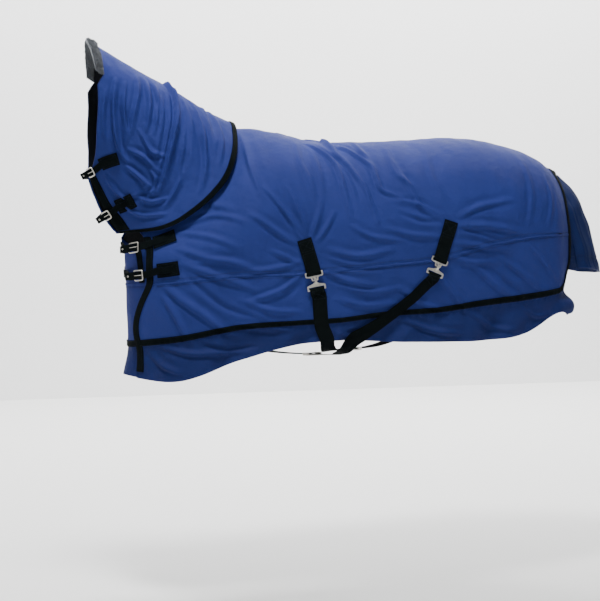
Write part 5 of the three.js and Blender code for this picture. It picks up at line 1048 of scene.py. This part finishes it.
def rounded(loop, r=1.6, k=4):
    out = []; n = len(loop)
    for i in range(n):
        a, b, c = (np.array(loop[(i + j) % n], float) for j in (-1, 0, 1))
        d1, d2 = a - b, c - b; l = min(r, np.linalg.norm(d1) * 0.45, np.linalg.norm(d2) * 0.45)
        p, q = b + unit(d1) * l, b + unit(d2) * l
        for t in np.linspace(0, 1, k + 1): out.append(tuple((1 - t) ** 2 * p + 2 * t * (1 - t) * b + t * t * q))
    return out

BELLY = [dict(tag="front", A=[3.241, 4.909], B=[3.395, 5.75], clip=[3.455, 6.30]), dict(tag="rear", A=[6.229, 4.823], B=[6.05, 5.74], clip=[5.93, 6.26])]
STRAPS = {
    "front": dict(on=[[3.54, 6.95], [3.56, 7.5], [3.59, 8.1], [3.63, 8.8], [3.67, 9.4], [3.70, 9.9]], w=[0.050] * 8, far=[[6.74, 9.7], [6.85, 6.35]], sl=(4, 5, 0.30),
        under=[[-1, -304, 872, [0, -1, -0.3]], [3, -298, 859, [0.1, -0.8, -0.8]], [16, -281, 851, [0.05, -0.3, -1]], [42, -252, 849, [0, -0.05, -1]], [100, -190, 848, [0, 0, -1]], [270, 0, 842, [0, 0, -1]], [420, 185, 850, [0, 0.05, -1]], [500, 268, 868, [0, 0.6, -1]]]),
    "rear": dict(on=[[5.70, 6.90], [5.47, 7.30], [5.18, 7.70], [4.86, 8.22], [4.50, 9.20], [4.27, 9.85]], w=[0.050, 0.050, 0.050, 0.050, 0.048, 0.044, 0.041, 0.039, 0.038, 0.037, 0.037, 0.037, 0.038, 0.040, 0.044, 0.048] + [0.050] * 14, far=[[2.58, 9.7], [2.52, 6.35]], sl=(3, 4, 0.34),
        under=[[78, -306, 872, [0, -1, -0.3]], [64, -299, 853, [0, -0.8, -0.8]], [46, -278, 840, [0, -0.3, -1]], [28, -240, 834, [0, -0.1, -1]], [-75, 0, 828, [0, 0, -1]], [-145, 140, 838, [0, 0.05, -1]], [-190, 222, 862, [0, 0.6, -1]]])}
def gp(x, y, z, n): return (np.array([x, y, z]) / 1000 - G0, unit(np.array(n, float)))
for b in BELLY:
    tag = b["tag"]
    q, qn = one("body", 1, *b["clip"]); M = tangent_frame(q + qn * 0.0075, qn, one("body", 1, *b["clip"])[0] - one("body", 1, *b["B"])[0]); loc = loc_of(M, qn)
    f = on_skin("body", 1, [lerp(np.array(b["A"]), np.array(b["B"]), t) for t in np.linspace(0, 1, 5)], 0.0042, 9)
    # the tab turns round the plate's top bar and comes back under itself
    loop = [loc(-37, 1.2), loc(-32, 3.0), loc(-26, 4.2), loc(-21.6, 3.2), (loc(-20.4, 0.2)[0], unit(M[:3, 0])), (loc(-21.6, -2.8)[0], -qn), (loc(-27, -3.9)[0], -qn), (loc(-36, -4.2)[0], -qn)]
    ribbon("%s_tab_web" % tag, [*f[:-1], *loop], 0.050, 0.0021, WEB, "rug", "black_webbing", (tag + "_surcingle_tab",), sub=5, nw=12)
    ln = path_len(f)
    st = [(p + n * 0.0013, n) for p, n in f]
    X = box_x(st, (0.008, ln * 0.46), 0.050) + box_x(st, (ln * 0.54, ln * 0.97), 0.050)[:4]
    stitches("%s_tab_stitching" % tag, X, "rug")
    ps = [[-32, -31], [-18, -31], [-15, -28], [-13, -13], [-3, -11], [-1, -9], [-1, 9], [-3, 11], [-13, 13], [-15, 28], [-18, 31], [-32, 31]]
    h1 = [[-27.5, -26.5], [-27.5, 26.5], [-20.5, 26.5], [-18.5, 24], [-18.5, -24], [-20.5, -26.5]]
    h2 = [[-13.5, -7], [-13.5, 7], [-5.5, 7], [-5.5, -7]]
    plate("%s_slot_plate_metal" % tag, rounded(ps, 3), [rounded(h1, 1.5), rounded(h2, 1.5)], 3.4, M, "rug", (tag + "_slot_plate",))
    ls = [[4, -6], [8, -10], [13, -29], [16, -32], [31, -32], [31, 32], [16, 32], [13, 29], [8, 10], [4, 6]]
    plate("%s_t_hook_plate" % tag, rounded(ls, 3), [rounded([[19, -26.5], [19, 26.5], [26.5, 26.5], [26.5, -26.5]], 1.5)], 3.4, M, "rug", (tag + "_t_hook",))
    hk = [[8, -1.5], [8, 1.5], [3, 6.4], [-8.6, 6.4], [-8.6, -5.2], [-16, -5.2], [-16, -2.6], [-11.4, -2.6], [-11.4, 9.2], [4.5, 9.2], [12, 1.5], [12, -1.5]]
    plate("%s_t_hook_tongue" % tag, rounded(hk, 1.2, 3), [], 8.0, M, "rug", (), axis="sn")
    k = STRAPS[tag]
    on = on_skin("body", 1, k["on"], 0.0072, 10, relief=False)
    far = on_skin("body", -1, [lerp(np.array(k["far"][0]), np.array(k["far"][1]), t) for t in np.linspace(0, 1, 4)], -0.0175, 7, relief=False)
    loop2 = [(loc(34, -1.6)[0], -qn), (loc(28, -3.4)[0], -qn), (loc(24.2, -2.6)[0], -qn), (loc(22.4, 0.2)[0], -unit(M[:3, 0])), loc(23.4, 3.2), loc(27, 4.4), loc(33, 4.2), loc(40, 3.6)]
    pts = [*loop2, *on, *[gp(*g) for g in k["under"]], *far]
    st_ = ribbon("%s_strap_web" % tag, pts, 0.050, 0.0021, WEB, "rug", "black_webbing", (tag + "_surcingle_strap",), sub=8, nw=12, widths=k["w"])
    box = pts[6:10]
    Pb, Qb = resample(np.array([q[0] for q in pts[5:11]]), 40), unit(resample(np.array([q[1] for q in pts[5:11]]), 40))
    fb = [(Pb[i] + Qb[i] * 0.0014, Qb[i]) for i in range(40)]
    stitches("%s_strap_stitching" % tag, box_x(fb, (0.006, 0.036), 0.050), "rug")
    fa = on_skin("body", -1, [[k["far"][1][0], v] for v in np.linspace(7.0, 6.2, 4)], -0.0155, 8, relief=True)
    ribbon("%s_anchor_web" % tag, fa, 0.062, 0.0022, WEB, "rug", "black_webbing", (tag + "_surcingle_anchor",), sub=2, nw=10)

# ------------------------------------------------------------------ neck cover
def neck_front(v):
    return np.interp(v, [0, 2.05, 2.6, 6], [0.35, 0.35, 0.0, 0.0])
def neck_panel(name, ws, n, off_o, off_i, mat, u0, u1):
    col = np.linspace(0, 1, n + 1); w = ws[None, :]; side = np.where(w >= 0, 1.0, -1.0); v = np.abs(w)
    a = u0(v) if callable(u0) else u0 + 0 * v
    u = a + (u1 - a) * col[:, None]
    v2 = np.broadcast_to(v, u.shape); s2 = np.broadcast_to(side, u.shape)
    o, _ = skin("neck", s2, u, v2, off_o); i, _ = skin("neck", s2, u, v2, off_i)
    return shell(name, o, i, mat), o
nl = refine([0, 2, 4, 6], 0.045 if not QUICK else 0.1); rows_n = np.concatenate([-nl[::-1][:-1], nl])
ob, g = neck_panel("neck_cover_cloth", rows_n, 170 if not QUICK else 70, 0.0, -0.0042, BLUE, neck_front, 5.0)
done(ob, "neck_cover", "blue_polyester", "neck_cover_shell"); SHEETS.append((ob, g, "draped"))
nl2 = refine([0, 2, 4, 5.97], 0.05 if not QUICK else 0.1); rows_n2 = np.concatenate([-nl2[::-1][:-1], nl2])
ob, g = neck_panel("neck_cover_lining_cloth", rows_n2, 150 if not QUICK else 70, -0.0051, -0.0064, LINING, neck_front, 4.97)
done(ob, "neck_cover", "lining_nylon", "neck_cover_lining"); SHEETS.append((ob, g, "draped"))
rv = np.linspace(-5.97, 5.97, 120)
x = np.linspace(0, 1, 7); U = 5.0 - 0.2 * x
S_ = np.where(rv >= 0, 1.0, -1.0)
n_rows = 460
wv_ = np.linspace(-5.98, 5.98, n_rows); uu = np.broadcast_to(5.005 - 0.165 * x[None], (n_rows, 7)); vv = np.broadcast_to(np.abs(wv_)[:, None], (n_rows, 7)); ss = np.broadcast_to(np.where(wv_ >= 0, 1.0, -1.0)[:, None], (n_rows, 7))
p, nn = skin("neck", ss, uu, vv, 0.0)
cr = (0.0012 + 0.0021 * (1 - np.abs(2 * x - 1) ** 8 * 0.7) + 0.0008 * (1 - (2 * x - 1) ** 2))
ob = shell("neck_rear_binding_web", p + nn * cr[None, :, None], p + nn * 0.0008, WEB)
done(ob, "neck_cover", "black_webbing", "neck_rear_binding")
nst = []
for side in (1, -1):
    for du in (0.025, 0.14):
        nst.append([(a + b * 0.0030, b) for a, b in on_skin("neck", side, [[5.005 - du, 0.05 + 5.9 * i / 40] for i in range(41)], 0.0006, 300)])
for side, tag in ((1, "left"), (-1, "right")):
    us = np.linspace(0.0, 4.79, 30)
    strip("throat_binding_%s_web" % tag, side, [[u, 6.0] for u in us], [[u, 5.72] for u in us], 0.0010, 0.0019, WEB if side > 0 else WEB_BLUE, "neck_cover", "black_webbing", ("throat_binding_" + tag,), 300, part="neck")
    nst.append([(a + b * 0.0026, b) for a, b in on_skin("neck", side, [[4.7 * i / 30 + 0.02, 5.77] for i in range(31)], 0.0006, 240)])
# rows of stitches along the rear and throat bindings
stitches("neck_binding_stitching", nst, "neck_cover")
# fleece at the poll
k = 150; vr = np.linspace(-2.04, 2.04, 2 * k); xr = np.linspace(0, 1, 34)
uf = np.broadcast_to(0.37 * xr[None] - 0.02, (2 * k, 34)); vf = np.broadcast_to(np.abs(vr)[:, None], uf.shape); sf = np.broadcast_to(np.where(vr >= 0, 1.0, -1.0)[:, None], uf.shape)
p, nn = skin("neck", sf, uf, vf, 0.0)
lump = 0.0022 * waves(p, 5.0, 0.022, 12) + 0.0016 * waves(p, 8.0, 0.009, 12)
prof = (1 - np.abs(2 * xr - 1) ** 3) * 0.0085
endt = np.clip((2.04 - np.abs(vr)) / 0.12, 0, 1)[:, None]
o = p + nn * (((prof[None] + lump * np.minimum(1, prof[None] / 0.004)) * endt ** 0.5) - 0.0005)[..., None]
i = p - nn * (0.0052 + ((prof[None] * 0.8 - 0.5 * lump) * endt ** 0.5) * 0.6)[..., None]
ob = shell("poll_fleece_pile", o, i, FLEECE)
done(ob, "neck_cover", "grey_fleece", "poll_fleece")
tv, tf = [], []
count = 5200 if not QUICK else 1500
for q in range(count):
    r1, r2, r3, r4, r5 = (_hash(q * 1.37 + s0) for s0 in (1.1, 2.3, 3.7, 5.3, 7.9))
    ia = min(int(r1 * (2 * k - 1)), 2 * k - 2); ib = min(int(r2 * 33), 32)
    inner = r5 > 0.72
    src = i if inner else o
    c0 = src[ia, ib] * (1 - r3) + src[ia + 1, ib + 1] * r3
    nv = nn[ia, ib] * (-1 if inner else 1)
    t1 = unit(np.cross(nv, np.array([r3 - 0.5, r4 - 0.5, 0.6]))); t2 = np.cross(nv, t1)
    lean = (r4 - 0.5) * 1.3 * t1 + (r3 - 0.5) * 1.3 * t2
    ln = 0.0032 + 0.0032 * r4; w0 = 0.0011
    o0 = len(tv)
    for a in range(3):
        ca, sa = math.cos(a * 2.094), math.sin(a * 2.094)
        tv.append(c0 - nv * 0.0008 + (t1 * ca + t2 * sa) * w0)
    for a in range(3):
        ca, sa = math.cos(a * 2.094 + 0.5), math.sin(a * 2.094 + 0.5)
        tv.append(c0 + (nv + lean * 0.5) * ln * 0.55 + (t1 * ca + t2 * sa) * w0 * 0.75)
    tv.append(c0 + (nv + lean * 1.4) * ln)
    for a in range(3):
        b2_ = (a + 1) % 3
        tf.append((o0 + a, o0 + b2_, o0 + 3 + b2_, o0 + 3 + a)); tf.append((o0 + 3 + a, o0 + 3 + b2_, o0 + 6))
    tf.append((o0 + 2, o0 + 1, o0))
tuft = new_mesh("poll_fleece_tufts", np.array(tv), tf, FLEECE, np.zeros((len(tv), 2)))
done(tuft, "neck_cover", "grey_fleece")

THROAT = [dict(tag="throat_upper", patch=[[0.70, 5.24], [1.608, 4.519]], b=[0.20, 5.80], pw=42, r=[[0.70, 5.24], [1.5, 4.55]]),
          dict(tag="throat_lower", patch=[[3.30, 5.62], [3.353, 5.10]], b=[3.50, 5.97], pw=50, r=[[3.3, 5.62], [3.353, 5.0]])]
for c in THROAT:
    A, B = np.array(c["patch"][0]), np.array(c["patch"][1])
    f = on_skin("neck", 1, [lerp(A, B, t) for t in np.linspace(0, 1, 5)], 0.0038, 17)
    ribbon("%s_patch_web" % c["tag"], f, c["pw"] / 1000, 0.0021, WEB, "neck_cover", "black_webbing", (c["tag"] + "_patch",), sub=2, nw=10)
    ln = path_len(f)
    stitches("%s_patch_stitching" % c["tag"], box_x([(p + n * 0.0012, n) for p, n in f], (0.005, ln - 0.005), c["pw"] / 1000), "neck_cover")
    q, qn = one("neck", 1, *c["b"])
    M = tangent_frame(q + qn * 0.012, qn, q - one("neck", 1, *c["patch"][1])[0])
    L = 22; hx = L / 2 + WIRE / 2; loc = loc_of(M, qn)
    start = on_skin("neck", 1, [lerp(A, B, t) for t in np.linspace(0.6, 0.12, 5)], lambda x: 0.0074 + 0.002 * x, 4)
    pts = [*start, loc(-hx - 8, -3.4), loc(-hx, -4.4), loc(-hx + 6, -3.0), loc(0, 1.0), loc(hx - 5, 4.6), loc(hx, 5.4), loc(hx + 8, 5.6), loc(hx + 26, 5.2)]
    on = []
    way = ((0.34, 5.86, 0.0040), (0.50, 5.55, 0.0052), (0.72, 5.22, 0.0066), (1.0, 4.98, 0.0068)) if c["b"][0] < 2 else ((3.44, 5.93, 0.0040), (3.36, 5.72, 0.0060), (3.33, 5.5, 0.0066), (3.34, 5.25, 0.0068))
    for u, v, h in way:
        a_, b_ = skin("neck", -1, np.array([u]), np.array([v]), 0.0)
        on.append((a_[0] + b_[0] * h, b_[0]))
    buckle(c["tag"], M, 22, 24, pts, 22, 40, "neck_cover", c["tag"] + "_prong", (on, False))
    f = on_skin("neck", -1, [lerp(np.array(c["r"][0]), np.array(c["r"][1]), t) for t in np.linspace(0, 1, 5)], 0.0042, 17)
    ribbon("%s_buckle_patch_web" % c["tag"], f, 0.040, 0.0021, WEB, "neck_cover", "black_webbing", (c["tag"] + "_buckle_patch",), sub=2, nw=8)


# ------------------------------------------------------------------ tail flap
TC = np.array([[1034, 1486], [1076, 1447], [1112, 1402], [1136, 1350], [1160, 1276], [1184, 1195], [1205, 1113]], float)
TW = np.array([72, 104, 125, 141, 151, 158, 166], float); TD = np.array([42, 84, 119, 140, 152, 158, 170], float); TS = np.array([50, 46, 38, 26, 12, -4, -18], float)
def tail(a, b):
    x = np.clip(b, 0, 1) * 6
    f = lambda arr: np.interp(x, np.arange(0, 6.01, 0.25), resample(arr[:, None], 25)[:, 0])
    cx, cz, w, d, sg = f(TC[:, 0]), f(TC[:, 1]), f(TW), f(TD), f(TS)
    th = a * 1.4
    P = np.stack([cx - d * (1 - np.cos(th)) / (1 - math.cos(1.4)), w * np.sin(th) / math.sin(1.4), cz - sg * np.sin(th) ** 2], -1) / 1000 - G0
    return P
def tail_surface(a, b, off, relief=True):
    h = 0.004
    P = tail(a, b); da = tail(a + h, b) - tail(a - h, b); db = tail(a, np.minimum(b + h, 1)) - tail(a, np.maximum(b - h, 0))
    n = unit(np.cross(da, db)); n = n * np.sign((n[..., :1] * 1.0) + 1e-9)
    d = np.zeros(P.shape[:-1])
    if relief:
        k = smooth(b, 0.10, 0.6)
        d = d + k * (0.0045 * np.sin(a * 9.0 + 1.1 + 1.2 * b) + 0.0030 * np.sin(a * 19 - 2.0 * b + 0.4))
        d = d + 0.0018 * waves(P, 23.0, 0.11) * smooth(b, 0.0, 0.25)
        d = d - 0.0016 * np.exp(-((b - 0.90) / 0.012) ** 2)
        d = d + 0.0010 * np.exp(-((b - 0.93) / 0.03) ** 2) * np.sin(a * 70)
        d = d - 0.0022 * np.exp(-((np.abs(a) - 0.80) / 0.02) ** 2) * smooth(b, 0.15, 0.3)
    return P + n * (d + off)[..., None], n
na, nb = (120, 96) if not QUICK else (60, 50)
aa, bb = np.meshgrid(np.linspace(-1, 1, na + 1), np.linspace(0, 1, nb + 1), indexing="ij")
o, nn = tail_surface(aa, bb, 0.0); i, _ = tail_surface(aa, bb, -0.003)
# the tail flap takes the darker copy of the blue, which is painted shade
ob = shell("tail_flap_cloth", o, i, BLUE_D)
done(ob, "tail_flap_swing", "blue_polyester_dark", "tail_flap"); SHEETS.append((ob, o, "hung"))
a2, b2 = np.meshgrid(np.linspace(-1, 1, na + 1), np.linspace(0.875, 0.999, 15), indexing="ij")
o, _ = tail_surface(a2, b2, -0.0036); i, _ = tail_surface(a2, b2, -0.0052)
# its hem takes the same painted-shade copy of the blue
ob = shell("tail_flap_hem_cloth", o, i, BLUE_D)
done(ob, "tail_flap_swing", "blue_polyester_dark", "tail_flap_hem")
tst = []
for b0 in (0.885, 0.905, 0.925):
    a_ = np.linspace(-0.99, 0.99, 260); p, n = tail_surface(a_, np.full(260, b0), 0.0004)
    tst.append([(p[k], n[k]) for k in range(260)])
for a0 in (-0.80, 0.80):
    b_ = np.linspace(0.12, 0.86, 120); p, n = tail_surface(np.full(120, a0), b_, 0.0004)
    tst.append([(p[k], n[k]) for k in range(120)])
stitches("tail_flap_stitching", tst, "tail_flap_swing", slot="black_webbing")


# ------------------------------------------------------------------ adjusters keep their CAD shape, softened
for n in ("front_surcingle_adjuster", "rear_surcingle_adjuster"):
    o = frame["nodes"][n]
    if o.data.materials: o.data.materials[0] = NICKEL
    else: o.data.materials.append(NICKEL)
    m = o.modifiers.new("bevel", "BEVEL"); m.width = 0.0008; m.segments = 2; m.limit_method = "ANGLE"

# ------------------------------------------------------------------ soft goods
for ob, g, held in SHEETS:
    l = float(np.linalg.norm(np.diff(g, axis=0), axis=2).sum(0).max()); w = float(np.linalg.norm(np.diff(g, axis=1), axis=2).sum(1).max())
    a = np.linalg.norm(np.cross(g[1:, :-1] - g[:-1, :-1], g[:-1, 1:] - g[:-1, :-1]), axis=2).sum()
    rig.sheet(ob, flat=(round(w, 3), round(l, 3)), held=held, rests_on=RESTS.get(ob.name, ()) if "RESTS" in globals() else (), area=round(float(min(a, w * l * 0.999)), 4))

# ------------------------------------------------------------------ stage, light, camera
FLOOR = -G0[2]
def stage_mat(name, col, rough):
    m = bpy.data.materials.new(name); m.use_nodes = True
    b = m.node_tree.nodes["Principled BSDF"]; b.inputs["Base Color"].default_value = (*col, 1); b.inputs["Roughness"].default_value = rough
    return m
bpy.ops.mesh.primitive_plane_add(size=60, location=(0, 0, FLOOR)); fl = bpy.context.object; fl.name = "floor"
fl.data.materials.append(stage_mat("floor_pale", (0.80, 0.80, 0.79), 0.9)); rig.stage(fl)
w = bpy.data.worlds.new("studio"); bpy.context.scene.world = w; w.use_nodes = True
bg = w.node_tree.nodes["Background"]; bg.inputs[0].default_value = (0.80, 0.84, 0.90, 1); bg.inputs[1].default_value = WORLD
def area(name, loc, target, size, power, col=(1, 1, 1)):
    l = bpy.data.lights.new(name, "AREA"); l.size = size; l.energy = power; l.color = col
    o = bpy.data.objects.new(name, l); bpy.context.scene.collection.objects.link(o)
    o.location = loc; o.rotation_euler = (Vector(target) - Vector(loc)).to_track_quat("-Z", "Y").to_euler()
    return o
area("key", (-0.9, -1.5, 3.8), (0.1, 0, -0.3), 1.1, KEY)
area("fill", (-2.4, -5.4, 1.6), (0, 0, -0.4), 3.0, FILL)
area("rim", (2.6, 1.6, 3.2), (0, 0, -0.2), 1.6, RIM)
# a pale wall behind, with its own light
bpy.ops.mesh.primitive_plane_add(size=1, location=(2.0, 6.5, 3.0), rotation=(math.radians(90), 0, 0)); wl = bpy.context.object; wl.name = "wall"
wl.scale = (40, 12, 1); wl.data.materials.append(stage_mat("wall_pale", (0.88, 0.88, 0.88), 0.9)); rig.stage(wl)
for i, x in enumerate((-1.5, 2.5, 6.0)): area("wall_light_%d" % i, (x, 3.2, 5.5), (x + 0.4, 6.5, 0.2), 2.5, WALL)

cam = bpy.data.cameras.new("camera"); co = bpy.data.objects.new("camera", cam); bpy.context.scene.collection.objects.link(co)
cam.sensor_width = 36.0; cam.sensor_fit = "AUTO"; cam.lens = 1277.78 * 36.0 / 601.0
cam.clip_start = 0.05; cam.clip_end = 100
fwd = Vector((0.30888044, 0.95063623, -0.02972599)).normalized(); rt = Vector((math.cos(math.radians(-18)), math.sin(math.radians(-18)), 0)); up = rt.cross(fwd).normalized()
R = Matrix((rt, up, -fwd)).transposed().to_4x4()
co.matrix_world = Matrix.Translation((-1.42147817 - G0[0], -4.37485997, 1.15 - G0[2])) @ R
bpy.context.scene.camera = co

VIS = [[float(c) for c in p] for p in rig.bounds()]
with open("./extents.json", "w") as fh: json.dump({"cad": CAD_BOX, "visual": VIS}, fh)
